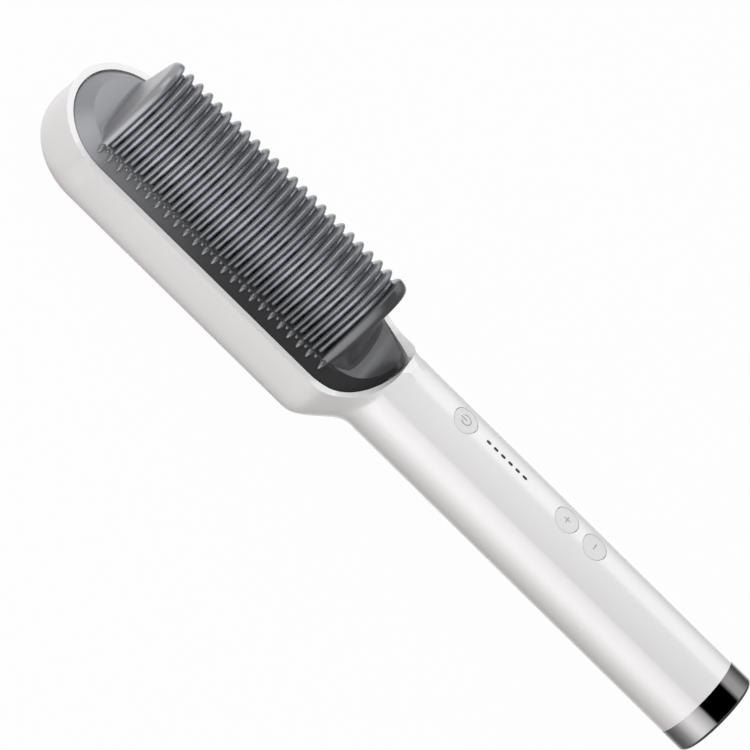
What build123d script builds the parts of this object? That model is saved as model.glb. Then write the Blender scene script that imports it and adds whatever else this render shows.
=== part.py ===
# Heated comb brush: a white shell with a grey comb cover, heated fins, three buttons and a chrome cap.
# X runs along the handle, from the head's tip (negative) to the end face of the cap (zero).
# Z points up out of the comb, and the handle's axis is the line y = 0, z = 0.

import os
from math import copysign, cos, pi, radians, sin, sqrt

from build123d import *

os.makedirs("parts", exist_ok=True)

# Row of guard ribs and heated fins
rib_count = 22              # thin ribs between the two end walls
rib_pitch = 4.0
end_gap = 5.3               # last thin rib to the end wall beside the neck
rib_crown = 32.0            # rib tops above the rim of the shell
rib_foot_half = 17.3        # half spread of a rib's feet
rib_foot_level = 2.2        # feet reach down into the sloped edge of the cover
rib_foot_thickness = 1.4
rib_thickness = 2.7
rib_point_height = 5.0      # height of the pointed top of a rib
rib_point_fullness = 0.72   # share of the thickness that is left two thirds up the point
rib_band = 4.2              # depth of the thick outer band at the crown
rib_band_side = 2.6         # depth of the thick outer band at the feet
rib_web = 1.2
arch_power = 2.3            # fullness of the arches
wall_flare = 4.4            # how far an end wall bulges away from the ribs
wall_inner = 0.9            # end wall's ridge to its face towards the fins
wall_foot_share = 0.86      # bulge that is left at the foot
wall_shoulder_share = 0.66  # bulge a tenth of the height below the ridge
wall_bulge_share = 0.38     # the bulge is widest this share of the height below the ridge
wall_cut = 0.03             # the bow in plan clears the wall's outline by this much
fin_crown = 27.5
fin_foot_half = 13.3
fin_thickness = 1.4
fin_slot_clearance = 0.3
fin_slot_margin = 1.5       # slot length beyond a fin's foot, each end

# Head
head_half_width = 22.9
head_depth = 20.8           # back of the head below the rim
head_squareness = 5.0       # 2 is an ellipse, more is squarer
rest_flat = 0.15            # depth of the flat band that the head's back rests on
head_wall = 3.2
rim_width = 2.3
rim_height = 2.75           # rim above the axis of the handle
wall_lead = 4.0             # first end wall before the centre of the tip's half circle
wall_trail = 1.0            # last end wall beyond the centre of the neck's half circle
sweep_run = 13.3            # the rim sweeps up onto the handle over this length
sweep_rise = 11.6
rim_band = 2.8              # pale band between the sweep and the handle's front
ledge_width = 1.2
ledge_depth = 3.0
floor_radius = 5.0

# Neck between head and handle
neck_length = 2.9
neck_start = 2.8            # the head starts to narrow this far beyond its half circle's centre
neck_wall = 1.5

# Comb cover
cover_clearance = 0.25
cover_drop = 0.15           # the cover's edge lies this far under the rim
platform_height = 4.3
platform_wall = 1.6
skirt_wall = 1.6
valley_rise = 9.5           # top of the valley beside the neck above the rim
valley_reach = 2.5          # the valley runs this far past the platform's half circle
boss_radius = 2.6
boss_offset = 5.0           # screw bosses from the end walls
boss_half = 6.0

# Handle and cap
handle_radius = 15.1
handle_wall = 1.8
handle_length = 131.0
cap_length = 9.0
cap_wall = 2.0
cap_edge_radius = 1.2
spigot_length = 5.0
spigot_wall = 1.8
spigot_clearance = 0.1
seal_section = 0.6
seal_clearance = 0.03

# Buttons and switches, placed from the front end of the handle
power_offset = 19.4
plus_offset = 62.8
button_gap = 11.9           # plus button to minus button
button_radius = 4.35
button_clearance = 0.15
button_edge = 0.2
flange_radius = 5.1
flange_thickness = 1.0
flange_play = 0.1
button_travel = 0.5
stem_radius = 2.2
switch_size = 6.0
switch_height = 2.4
switch_floor = 0.6
plunger_radius = 1.7
plunger_clearance = 0.1
plunger_proud = 0.5
switch_margin = 0.2         # plunger's room below its full travel

# Indicator lights, placed from the front end of the handle
window_count = 6
window_offset = 29.1
window_pitch = 3.08
window_length = 1.85
window_width = 1.1
window_clearance = 0.05
window_recess = 0.05
guide_half_width = 2.2
guide_thickness = 1.9
guide_margin = 1.8
light_length = 1.6
light_width = 0.8
light_height = 0.6

# Chassis, cell and control board
chassis_clearance = 0.2
deck_drop = 6.9             # the board's seat below the top of the bore
cell_length = 65.0
cell_clearance = 0.15
cell_top_gap = 0.4          # cell to the board's seat
cell_low_gap = 0.9          # cell to the bottom of the bore
cell_offset = 28.0
tab_thickness = 0.3
tab_width = 7.0
tab_reach = 4.0             # how far the tabs reach below the cell's axis
board_offset = 9.0
board_end_room = 22.0       # board's end to the rear end of the handle
board_margin = 0.6          # board's upper corners to the bore
board_thickness = 1.6
board_corner = 1.0
board_screw_inset = 3.5
board_screw_edge = 2.5      # from the board's sides
screw_radius = 1.1
screw_head_radius = 2.0
screw_head_height = 1.3
screw_length = 6.0
hole_clearance = 0.15
chip_offset = 52.0
chip_size = 7.0
chip_height = 1.0
transistor_length = 6.0
transistor_width = 5.0
transistor_pitch = 6.5
transistor_height = 1.4
coil_inset = 7.0            # from the board's rear end
coil_size = 8.0
coil_height = 2.6
plug_length = 4.0
plug_half_width = 4.5
plug_height = 2.4
plug_inset = 0.5

# Charging end
socket_width = 8.94
socket_height = 3.16
socket_length = 7.3
socket_wall = 0.3
socket_back = 0.8
socket_inset = 0.4
port_clearance = 0.2
tongue_width = 6.7
tongue_thickness = 0.7
tongue_length = 4.5
charging_board_half = 7.0
charging_board_length = 20.0
charging_board_thickness = 1.0
bed_thickness = 2.0
bed_half_width = 8.0
end_screw_angle = radians(31)  # below the level of the socket
end_post_radius = 2.2
end_post_gap = 0.45         # posts to the inside of the spigot
end_screw_length = 8.0

# Heater stack under the fins
fin_base_thickness = 2.0
fin_base_half = 14.5
fin_base_margin = 1.2       # from the end walls' ridges
heater_length = 70.0
heater_half_width = 9.0
heater_thickness = 1.4
mica_thickness = 0.4
mica_margin = 1.5
clamp_thickness = 1.0
clamp_half_width = 10.5
clamp_screw_offset = 4.4    # beyond the heater's end
clamp_screw_half = 7.5
clamp_margin = 2.6
clamp_boss_radius = 2.4
tray_deck = 1.5
tray_clearance = 0.3
leg_inset = 0.2             # leg ring inside the flat of the cavity's floor
leg_wall = 1.4
sensor_inset = 11.0         # from the heater's end beside the neck
sensor_radius = 1.2
sensor_length = 5.0
fuse_offset = -2.0
fuse_radius = 2.0
fuse_length = 10.0
fuse_pin_radius = 0.5
fuse_pin_length = 3.0

# Leads
lead_radius = 0.65
lead_spread = 2.6
sensor_lead_radius = 0.4
sensor_lead_spread = 0.6
charging_lead_radius = 0.5
charging_lead_spread = 5.5
lead_bend = 2.4
lead_clearance = 0.1
lead_room = 1.4             # free room around leads in slots and windows
passage_radius = 6.0
passage_drop = 5.0          # wire passage through the neck below the axis
grommet_length = 4.0

# Stations along X, worked back from the cap's end face
center_distance = rib_count * rib_pitch + end_gap - wall_lead - wall_trail
cap_joint_x = -cap_length
spigot_end_x = cap_joint_x - spigot_length
handle_front_x = cap_joint_x - handle_length
neck_center_x = handle_front_x - neck_length - head_half_width
tip_center_x = neck_center_x - center_distance
first_wall_x = tip_center_x - wall_lead
last_wall_x = neck_center_x + wall_trail
row_mid_x = (first_wall_x + last_wall_x) / 2
rib_x = [first_wall_x + rib_pitch * (k + 1) for k in range(rib_count)]
fin_x = [first_wall_x + rib_pitch * (k + 0.5) for k in range(rib_count + 1)]
opening_half = head_half_width - rim_width
opening_tip_x = neck_center_x + opening_half
sweep_start_x = opening_tip_x - sweep_run
cavity_half = opening_half - ledge_width
leg_half = cavity_half - floor_radius - leg_inset
bore_front_x = handle_front_x + neck_wall
button_x = {
    "power": handle_front_x + power_offset,
    "plus": handle_front_x + plus_offset,
    "minus": handle_front_x + plus_offset + button_gap,
}
window_x = [handle_front_x + window_offset + window_pitch * k for k in range(window_count)]
window_mid_x = (window_x[0] + window_x[-1]) / 2

# Levels along Z
rim_z = rim_height
head_back_z = rim_z - head_depth
floor_z = head_back_z + head_wall
ledge_z = rim_z - ledge_depth
platform_z = rim_z + platform_height
under_z = platform_z - platform_wall
rib_crown_z = rim_z + rib_crown
rib_foot_z = rim_z + rib_foot_level
fin_crown_z = rim_z + fin_crown
base_z = under_z - fin_base_thickness
heater_z = base_z - heater_thickness
mica_z = heater_z - mica_thickness
clamp_z = mica_z - clamp_thickness
deck_z = clamp_z - tray_deck
bore_radius = handle_radius - handle_wall
chassis_deck = bore_radius - deck_drop
board_z = chassis_deck + board_thickness
board_half_width = sqrt(bore_radius ** 2 - board_z ** 2) - board_margin
board_screw_half = board_half_width - board_screw_edge
cell_radius = (bore_radius + chassis_deck - cell_top_gap - cell_low_gap) / 2
cell_z = chassis_deck - cell_top_gap - cell_radius
switch_top_z = board_z + switch_height
plunger_top_z = switch_top_z + plunger_proud
flange_top_z = sqrt(bore_radius ** 2 - flange_radius ** 2) - flange_play
passage_z = -passage_drop
reach = 3 * head_half_width    # longer than any cut across the object


def stadium(half_width, neck_extra=0.0):
    """Plan outline of the head: two half circles joined by straight sides."""
    end_x = neck_center_x + neck_extra
    with BuildSketch() as outline:
        with Locations(((tip_center_x + end_x) / 2, 0)):
            SlotCenterToCenter(end_x - tip_center_x, 2 * half_width)
    return outline.sketch


def shell_section(head_share, count=16):
    """Closed outline across X, from the handle's circle (0) to the head's rounded box (1)."""
    half_width = handle_radius + (head_half_width - handle_radius) * head_share
    back = -handle_radius + (head_back_z + handle_radius) * head_share
    power = 2 / (2 + (head_squareness - 2) * head_share)
    middle = (handle_radius + back) / 2
    half_height = (handle_radius - back) / 2
    points = [(0, back)]
    for k in range(1, count):
        rise = -cos(pi * k / count)
        height = copysign(abs(rise) ** power, rise)
        points.append((half_width * sin(pi * k / count) ** power, middle + half_height * height))
    points.append((0, handle_radius))
    with BuildSketch() as outline:
        with BuildLine():
            if head_share > 0:
                Spline(*points, tangents=((1, 0), (-1, 0)))
            else:
                ThreePointArc((0, back), (half_width, 0), (0, handle_radius))
            mirror(about=Plane.YZ)
        make_face()
    return outline.sketch


def arch(half_width, crown, foot):
    """Arch outline in the YZ plane: a full curve over a straight base."""
    shares = (-1, -0.85, -0.6, -0.3, 0, 0.3, 0.6, 0.85, 1)
    points = [(half_width * s, crown - (crown - foot) * abs(s) ** arch_power) for s in shares]
    with BuildSketch() as outline:
        with BuildLine():
            Spline(*points)
            Line(points[-1], points[0])
        make_face()
    return outline.sketch


def rib_side():
    """Side outline of a rib in the XZ plane: slim foot, wider shoulder, pointed top."""
    foot = rib_foot_thickness / 2
    half = rib_thickness / 2
    shoulder = rib_crown_z - rib_point_height
    bend_x = half * rib_point_fullness
    bend_z = rib_crown_z - rib_point_height / 3
    with BuildSketch() as side:
        with BuildLine():
            Polyline((-half, shoulder), (-foot, rib_foot_z), (foot, rib_foot_z), (half, shoulder))
            ThreePointArc((half, shoulder), (bend_x, bend_z), (0, rib_crown_z))
            ThreePointArc((0, rib_crown_z), (-bend_x, bend_z), (-half, shoulder))
        make_face()
    return side.sketch


def wall_side():
    """Side outline of an end wall in the XZ plane, bulging towards +X."""
    height = rib_crown_z - rib_foot_z
    foot = (wall_flare * wall_foot_share, rib_foot_z)
    inner = (-wall_inner, rib_crown_z - wall_inner)
    ridge = (0, rib_crown_z)
    with BuildSketch() as side:
        with BuildLine():
            Polyline(foot, (-wall_inner, rib_foot_z), inner, ridge)
            Spline(
                ridge,
                (wall_flare * wall_shoulder_share, rib_crown_z - height / 10),
                (wall_flare, rib_crown_z - height * wall_bulge_share),
                foot,
            )
        make_face()
    return side.sketch


def sweep_points(lift, tip_x, rise, start_x):
    """Start, middle and end of an arc that leaves a level edge and climbs by the rise."""
    run = tip_x - start_x
    radius = (run ** 2 + rise ** 2) / (2 * rise)
    middle_z = lift + radius - sqrt(radius ** 2 - (run / 2) ** 2)
    return (start_x, lift), (start_x + run / 2, middle_z), (tip_x, lift + rise)


def sweep_side(lift, tip_x, rise, start_x, length):
    """Side outline under a level edge that sweeps up in an arc, in the XZ plane."""
    start, middle, end = sweep_points(lift, tip_x, rise, start_x)
    with BuildSketch() as side:
        with BuildLine():
            Polyline(end, (tip_x, -reach), (start_x - length, -reach))
            Polyline((start_x - length, -reach), (start_x - length, lift), start)
            ThreePointArc(start, middle, end)
        make_face()
    return side.sketch


def screws(plane, places, length):
    """Screws on a plane: flat heads above it and shanks of the given length below it."""
    with BuildPart() as group:
        for radius, amount in ((screw_head_radius, screw_head_height), (screw_radius, -length)):
            with BuildSketch(plane):
                with Locations(*places):
                    Circle(radius)
            extrude(amount=amount)
    return group.part


def leads(route, sides, radius):
    """One lead at each side distance, along a route of straight runs and bends."""
    with BuildPart() as group:
        for y in sides:
            with BuildLine() as path:
                FilletPolyline(*[(x, y, z) for x, z in route], radius=lead_bend)
            with BuildSketch(Plane(origin=path.line @ 0, z_dir=path.line % 0)):
                Circle(radius)
            sweep(path=path.line)
    return group.part


def save(part, name):
    """Label a group of screws or leads and write it under its name."""
    part.label = name
    export_step(part, f"parts/{name}.step")


# Cavity inside the head, with rounded floor edges
with BuildPart() as cavity:
    with BuildSketch(Plane.XY.offset(floor_z)):
        add(stadium(cavity_half))
    extrude(amount=ledge_z - floor_z)
    fillet(cavity.faces().sort_by(Axis.Z)[0].edges(), radius=floor_radius)

# Shell of head, neck and handle
head_section = shell_section(1)
neck_stations = (0, 0.1, 0.25, 0.4, 0.55, 0.7, 0.85, 1)
neck_end = neck_length + head_half_width
neck_blend_end = neck_end - rim_width - neck_wall
with BuildPart() as housing:
    with BuildSketch(Plane.YZ.offset(tip_center_x)):
        add(head_section)
    extrude(amount=center_distance)
    with BuildSketch(Plane.YZ.offset(tip_center_x)):
        add(head_section)
        with Locations((reach / 2, 0)):
            Rectangle(reach, 2 * reach, mode=Mode.INTERSECT)
    revolve(axis=Axis((tip_center_x, 0, 0), (0, 0, 1)), revolution_arc=180)
    for share in neck_stations:
        station = share * neck_end
        blend = (station - neck_start) / (neck_blend_end - neck_start)
        with BuildSketch(Plane.YZ.offset(neck_center_x + station)):
            add(shell_section(0.5 + 0.5 * cos(pi * min(max(blend, 0), 1))))
    loft()
    with BuildSketch(Plane.YZ.offset(handle_front_x)):
        Circle(handle_radius)
    extrude(amount=handle_length)
    # Everything above the rim goes, up to the sweep onto the handle's front
    start, middle, end = sweep_points(rim_z, opening_tip_x, sweep_rise, sweep_start_x)
    with BuildSketch(Plane.XZ):
        with BuildLine():
            Polyline(
                start,
                (tip_center_x - reach, rim_z),
                (tip_center_x - reach, reach),
                (opening_tip_x + rim_band, reach),
                (opening_tip_x + rim_band, handle_radius + rest_flat),
                end,
            )
            ThreePointArc(start, middle, end)
        make_face()
    extrude(amount=reach, both=True, mode=Mode.SUBTRACT)
    # Flat band on the back of the head
    with BuildSketch(Plane.XY.offset(head_back_z + rest_flat)):
        with Locations((row_mid_x, 0)):
            Rectangle(2 * reach, 2 * reach)
    extrude(amount=-reach, mode=Mode.SUBTRACT)
    # Opening for the comb cover, its ledge and the cavity below
    with BuildSketch(Plane.XY.offset(ledge_z)):
        add(stadium(opening_half))
    extrude(amount=reach, mode=Mode.SUBTRACT)
    add(cavity.part, mode=Mode.SUBTRACT)
    # Wire passage through the neck and the bore of the handle
    with BuildSketch(Plane.YZ.offset(neck_center_x + cavity_half - floor_radius)):
        with Locations((0, passage_z)):
            Circle(passage_radius)
    extrude(amount=bore_front_x - neck_center_x - cavity_half + floor_radius, mode=Mode.SUBTRACT)
    with BuildSketch(Plane.YZ.offset(bore_front_x)):
        Circle(bore_radius)
    extrude(amount=cap_joint_x - bore_front_x, mode=Mode.SUBTRACT)
    # Button holes and indicator holes
    with BuildSketch(Plane.XY):
        with Locations(*[(x, 0) for x in button_x.values()]):
            Circle(button_radius + button_clearance)
        with Locations(*[(x, 0) for x in window_x]):
            SlotOverall(window_length, window_width)
    extrude(amount=reach, mode=Mode.SUBTRACT)
housing.part.label = "housing"
export_step(housing.part, "parts/housing.step")

# Thin guard rib: thick outer band, tapering to the feet, around a thin web
with BuildPart() as rib:
    with BuildSketch(Plane.YZ):
        add(arch(rib_foot_half, rib_crown_z, rib_foot_z))
        add(
            arch(rib_foot_half - rib_band_side, rib_crown_z - rib_band, rib_foot_z),
            mode=Mode.SUBTRACT,
        )
    extrude(amount=rib_thickness, both=True)
    with BuildSketch(Plane.XZ):
        add(rib_side())
    extrude(amount=reach, both=True, mode=Mode.INTERSECT)
    with BuildSketch(Plane.YZ):
        add(arch(rib_foot_half - rib_band_side / 2, rib_crown_z - rib_band / 2, rib_foot_z))
    extrude(amount=rib_web / 2, both=True)

# Closed end wall: a rib's outline, bulging away from the row
with BuildPart() as end_wall:
    with BuildSketch(Plane.YZ):
        add(arch(rib_foot_half, rib_crown_z, rib_foot_z))
    extrude(amount=2 * wall_flare, both=True)
    with BuildSketch(Plane.XZ):
        add(wall_side())
    extrude(amount=reach, both=True, mode=Mode.INTERSECT)
    with BuildSketch(Plane.XY.offset(rib_foot_z)):
        foot_x = rib_foot_thickness / 2
        with BuildLine():
            Polyline(
                (foot_x, -rib_foot_half - wall_cut),
                (-2 * wall_inner, -rib_foot_half - wall_cut),
                (-2 * wall_inner, rib_foot_half + wall_cut),
                (foot_x, rib_foot_half + wall_cut),
            )
            ThreePointArc(
                (foot_x, rib_foot_half + wall_cut),
                (wall_flare + wall_cut, 0),
                (foot_x, -rib_foot_half - wall_cut),
            )
        make_face()
    extrude(amount=rib_crown_z, mode=Mode.INTERSECT)

# Cover's edge, which sweeps up beside the neck, and the valley inside it
cover_half = opening_half - cover_clearance
cover_edge_z = rim_z - cover_drop
cover_tip_x = neck_center_x + cover_half
platform_half = cover_half - platform_height
valley_tip_x = neck_center_x + platform_half + valley_reach
with BuildPart() as sweep_edge:
    with BuildSketch(Plane.XY.offset(ledge_z)):
        add(stadium(cover_half))
    extrude(amount=reach)
    with BuildSketch(Plane.XZ):
        add(sweep_side(cover_edge_z, cover_tip_x, sweep_rise, sweep_start_x, rib_pitch))
    extrude(amount=reach, both=True, mode=Mode.INTERSECT)
with BuildPart() as valley:
    with BuildSketch(Plane.XY.offset(ledge_z)):
        add(stadium(platform_half, valley_reach))
    extrude(amount=reach)
    with BuildSketch(Plane.XZ):
        add(
            sweep_side(
                platform_z,
                valley_tip_x,
                valley_rise - platform_height,
                last_wall_x + wall_flare,
                wall_flare,
            )
        )
    extrude(amount=reach, both=True, mode=Mode.INTERSECT)

# Comb cover: sloped edge, platform, valley beside the neck, ribs and end walls in one moulding
boss_places = [
    (x, y)
    for x in (first_wall_x - boss_offset, last_wall_x + boss_offset)
    for y in (-boss_half, boss_half)
]
with BuildPart() as comb_cover:
    with BuildSketch(Plane.XY.offset(cover_edge_z)):
        add(stadium(cover_half))
    extrude(amount=platform_z - cover_edge_z, taper=45)
    with BuildSketch(Plane.XY.offset(ledge_z)):
        add(stadium(cover_half))
    extrude(amount=cover_edge_z - ledge_z)
    add(sweep_edge.part)
    add(valley.part)
    with Locations(*[(x, 0, 0) for x in rib_x]):
        add(rib.part)
    with Locations((last_wall_x, 0, 0)):
        add(end_wall.part)
    with Locations(Location((first_wall_x, 0, 0), (0, 0, 180))):
        add(end_wall.part)
    with BuildSketch(Plane.XY.offset(ledge_z)):
        add(stadium(cover_half - skirt_wall))
    extrude(amount=cover_edge_z - cover_drop - ledge_z, mode=Mode.SUBTRACT)
    with BuildSketch(Plane.XY.offset(ledge_z)):
        add(stadium(platform_half))
    extrude(amount=under_z - ledge_z, mode=Mode.SUBTRACT)
    with BuildSketch(Plane.XY.offset(under_z)):
        with Locations(*[(x, 0) for x in fin_x]):
            Rectangle(
                fin_thickness + 2 * fin_slot_clearance, 2 * (fin_foot_half + fin_slot_margin)
            )
    extrude(amount=platform_wall, mode=Mode.SUBTRACT)
    with BuildSketch(Plane.XY.offset(clamp_z)):
        with Locations(*boss_places):
            Circle(boss_radius)
            Circle(screw_radius, mode=Mode.SUBTRACT)
    extrude(amount=under_z - clamp_z)
comb_cover.part.label = "comb_cover"
export_step(comb_cover.part, "parts/comb_cover.step")

# Heated fins on one base plate, with bosses for the clamp's screws
clamp_places = [
    (row_mid_x + side * (heater_length / 2 + clamp_screw_offset), y)
    for side in (-1, 1)
    for y in (-clamp_screw_half, clamp_screw_half)
]
base_length = last_wall_x - first_wall_x - 2 * fin_base_margin
with BuildPart() as fin:
    with BuildSketch(Plane.YZ):
        add(arch(fin_foot_half, fin_crown_z, under_z))
    extrude(amount=fin_thickness / 2, both=True)
with BuildPart() as heating_fins:
    with BuildSketch(Plane.XY.offset(base_z)):
        with Locations((row_mid_x, 0)):
            Rectangle(base_length, 2 * fin_base_half)
    extrude(amount=fin_base_thickness)
    with Locations(*[(x, 0, 0) for x in fin_x]):
        add(fin.part)
    with BuildSketch(Plane.XY.offset(mica_z)):
        with Locations(*clamp_places):
            Circle(clamp_boss_radius)
    extrude(amount=base_z - mica_z)
    with BuildSketch(Plane.XY.offset(mica_z)):
        with Locations(*clamp_places):
            Circle(screw_radius)
    extrude(amount=under_z - mica_z, mode=Mode.SUBTRACT)
heating_fins.part.label = "heating_fins"
export_step(heating_fins.part, "parts/heating_fins.step")

# Ceramic heater pressed against the fins' base
with BuildPart() as ceramic_heater:
    with BuildSketch(Plane.XY.offset(heater_z)):
        with Locations((row_mid_x, 0)):
            Rectangle(heater_length, 2 * heater_half_width)
    extrude(amount=heater_thickness)
ceramic_heater.part.label = "ceramic_heater"
export_step(ceramic_heater.part, "parts/ceramic_heater.step")

# Mica sheet between the heater and its clamp
mica_length = heater_length + 2 * mica_margin
with BuildPart() as insulating_sheet:
    with BuildSketch(Plane.XY.offset(mica_z)):
        with Locations((row_mid_x, 0)):
            Rectangle(mica_length, 2 * heater_half_width + 2 * mica_margin)
    extrude(amount=mica_thickness)
insulating_sheet.part.label = "insulating_sheet"
export_step(insulating_sheet.part, "parts/insulating_sheet.step")

# Clamp plate that holds the heater up
clamp_length = heater_length + 2 * (clamp_screw_offset + clamp_margin)
with BuildPart() as heater_clamp:
    with BuildSketch(Plane.XY.offset(clamp_z)):
        with Locations((row_mid_x, 0)):
            RectangleRounded(clamp_length, 2 * clamp_half_width, clamp_margin)
        with Locations(*clamp_places):
            Circle(screw_radius + hole_clearance, mode=Mode.SUBTRACT)
    extrude(amount=clamp_thickness)
heater_clamp.part.label = "heater_clamp"
export_step(heater_clamp.part, "parts/heater_clamp.step")

clamp_under = Plane(origin=(0, 0, clamp_z), x_dir=(1, 0, 0), z_dir=(0, 0, -1))
clamp_screws = screws(clamp_under, clamp_places, under_z - clamp_z)
save(clamp_screws, "clamp_screws")

# Tray that screws up under the cover and stands on the housing's floor
deck_under = Plane(origin=(0, 0, deck_z), x_dir=(1, 0, 0), z_dir=(0, 0, -1))
fuse_x = row_mid_x + fuse_offset
sensor_x = row_mid_x + heater_length / 2 - sensor_inset
lead_drop_x = row_mid_x + clamp_length / 2 + lead_room
with BuildPart() as insulator_tray:
    with BuildSketch(Plane.XY.offset(deck_z)):
        add(stadium(cover_half - skirt_wall - tray_clearance))
        with Locations(*clamp_places):
            Circle(screw_head_radius + hole_clearance, mode=Mode.SUBTRACT)
        with Locations(*boss_places):
            Circle(screw_radius + hole_clearance, mode=Mode.SUBTRACT)
        with Locations((fuse_x, 0)):
            Rectangle(
                fuse_length + 2 * fuse_pin_length + lead_room,
                2 * fuse_radius + lead_room,
                mode=Mode.SUBTRACT,
            )
        with Locations((sensor_x + sensor_length / 2, 0)):
            Rectangle(
                2 * sensor_length + lead_room, 2 * sensor_radius + lead_room, mode=Mode.SUBTRACT
            )
        with Locations((lead_drop_x + lead_bend, 0)):
            Rectangle(2 * lead_bend, 2 * (lead_spread + lead_room), mode=Mode.SUBTRACT)
    extrude(amount=tray_deck)
    with BuildSketch(Plane.XY.offset(floor_z)):
        add(stadium(leg_half))
        add(stadium(leg_half - leg_wall), mode=Mode.SUBTRACT)
    extrude(amount=deck_z - floor_z)
    with BuildSketch(Plane.YZ.offset(neck_center_x + leg_half - 2 * leg_wall)):
        with Locations((0, passage_z)):
            Rectangle(2 * (lead_spread + lead_room), 2 * (lead_radius + lead_room))
    extrude(amount=3 * leg_wall, mode=Mode.SUBTRACT)
insulator_tray.part.label = "insulator_tray"
export_step(insulator_tray.part, "parts/insulator_tray.step")

cover_screws = screws(deck_under, boss_places, tray_deck + under_z - clamp_z)
save(cover_screws, "cover_screws")

# Temperature sensor and thermal fuse lie against the clamp
with BuildPart() as temperature_sensor:
    with BuildSketch(Plane.YZ.offset(sensor_x - sensor_length / 2)):
        with Locations((0, clamp_z - sensor_radius)):
            Circle(sensor_radius)
    extrude(amount=sensor_length)
    fillet(temperature_sensor.edges(), radius=sensor_radius / 3)
temperature_sensor.part.label = "temperature_sensor"
export_step(temperature_sensor.part, "parts/temperature_sensor.step")

with BuildPart() as thermal_fuse:
    with BuildSketch(Plane.YZ.offset(fuse_x - fuse_length / 2)):
        with Locations((0, clamp_z - fuse_radius)):
            Circle(fuse_radius)
    extrude(amount=fuse_length)
    with BuildSketch(Plane.YZ.offset(fuse_x - fuse_length / 2 - fuse_pin_length)):
        with Locations((0, clamp_z - fuse_radius)):
            Circle(fuse_pin_radius)
    extrude(amount=fuse_length + 2 * fuse_pin_length)
thermal_fuse.part.label = "thermal_fuse"
export_step(thermal_fuse.part, "parts/thermal_fuse.step")

# Control board with its holes
board_x = handle_front_x + board_offset
board_end_x = cap_joint_x - board_end_room
board_places = [
    (x, y)
    for x in (board_x + board_screw_inset, board_end_x - board_screw_inset)
    for y in (-board_screw_half, board_screw_half)
]
with BuildPart() as control_board:
    with BuildSketch(Plane.XY.offset(chassis_deck)):
        with Locations(((board_x + board_end_x) / 2, 0)):
            RectangleRounded(board_end_x - board_x, 2 * board_half_width, board_corner)
        with Locations(*board_places):
            Circle(screw_radius + hole_clearance, mode=Mode.SUBTRACT)
    extrude(amount=board_thickness)
control_board.part.label = "control_board"
export_step(control_board.part, "parts/control_board.step")

board_screws = screws(Plane.XY.offset(board_z), board_places, screw_length)
save(board_screws, "board_screws")

# Heater connector at the board's front
plug_x = board_x + plug_inset
with BuildPart() as heater_connector:
    with BuildSketch(Plane.XY.offset(board_z)):
        with Locations((plug_x + plug_length / 2, 0)):
            Rectangle(plug_length, 2 * plug_half_width)
    extrude(amount=plug_height)
    chamfer(heater_connector.edges().filter_by(Axis.Y).group_by(Axis.Z)[-1], length=plug_inset)
heater_connector.part.label = "heater_connector"
export_step(heater_connector.part, "parts/heater_connector.step")

# Leads from the heater and the sensor through the neck to the connector
grommet_x = bore_front_x - neck_wall - grommet_length
climb_x = plug_x - plug_length
lead_z = board_z + plug_height / 2
heater_end_x = row_mid_x + heater_length / 2
drop_run = lead_bend * 2
lead_climb = [
    (climb_x - drop_run / 2, passage_z),
    (climb_x, lead_z),
    (plug_x, lead_z),
]
heater_route = [
    (heater_end_x, heater_z + heater_thickness / 2),
    (lead_drop_x, heater_z + heater_thickness / 2),
    (lead_drop_x + drop_run, passage_z),
]
heater_leads = leads(heater_route + lead_climb, (-lead_spread, lead_spread), lead_radius)
save(heater_leads, "heater_leads")

sensor_route = [
    (sensor_x + sensor_length / 2, clamp_z - sensor_radius),
    (sensor_x + sensor_length, clamp_z - sensor_radius),
    (sensor_x + sensor_length + drop_run, passage_z),
]
sensor_leads = leads(
    sensor_route + lead_climb, (-sensor_lead_spread, sensor_lead_spread), sensor_lead_radius
)
save(sensor_leads, "sensor_leads")

# Grommet that seals the wire passage through the neck
with BuildPart() as wire_grommet:
    with BuildSketch(Plane.YZ.offset(grommet_x)):
        with Locations((0, passage_z)):
            Circle(passage_radius)
        with Locations((-lead_spread, passage_z), (lead_spread, passage_z)):
            Circle(lead_radius + lead_clearance, mode=Mode.SUBTRACT)
        with Locations((-sensor_lead_spread, passage_z), (sensor_lead_spread, passage_z)):
            Circle(sensor_lead_radius + lead_clearance, mode=Mode.SUBTRACT)
    extrude(amount=grommet_length)
wire_grommet.part.label = "wire_grommet"
export_step(wire_grommet.part, "parts/wire_grommet.step")

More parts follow.
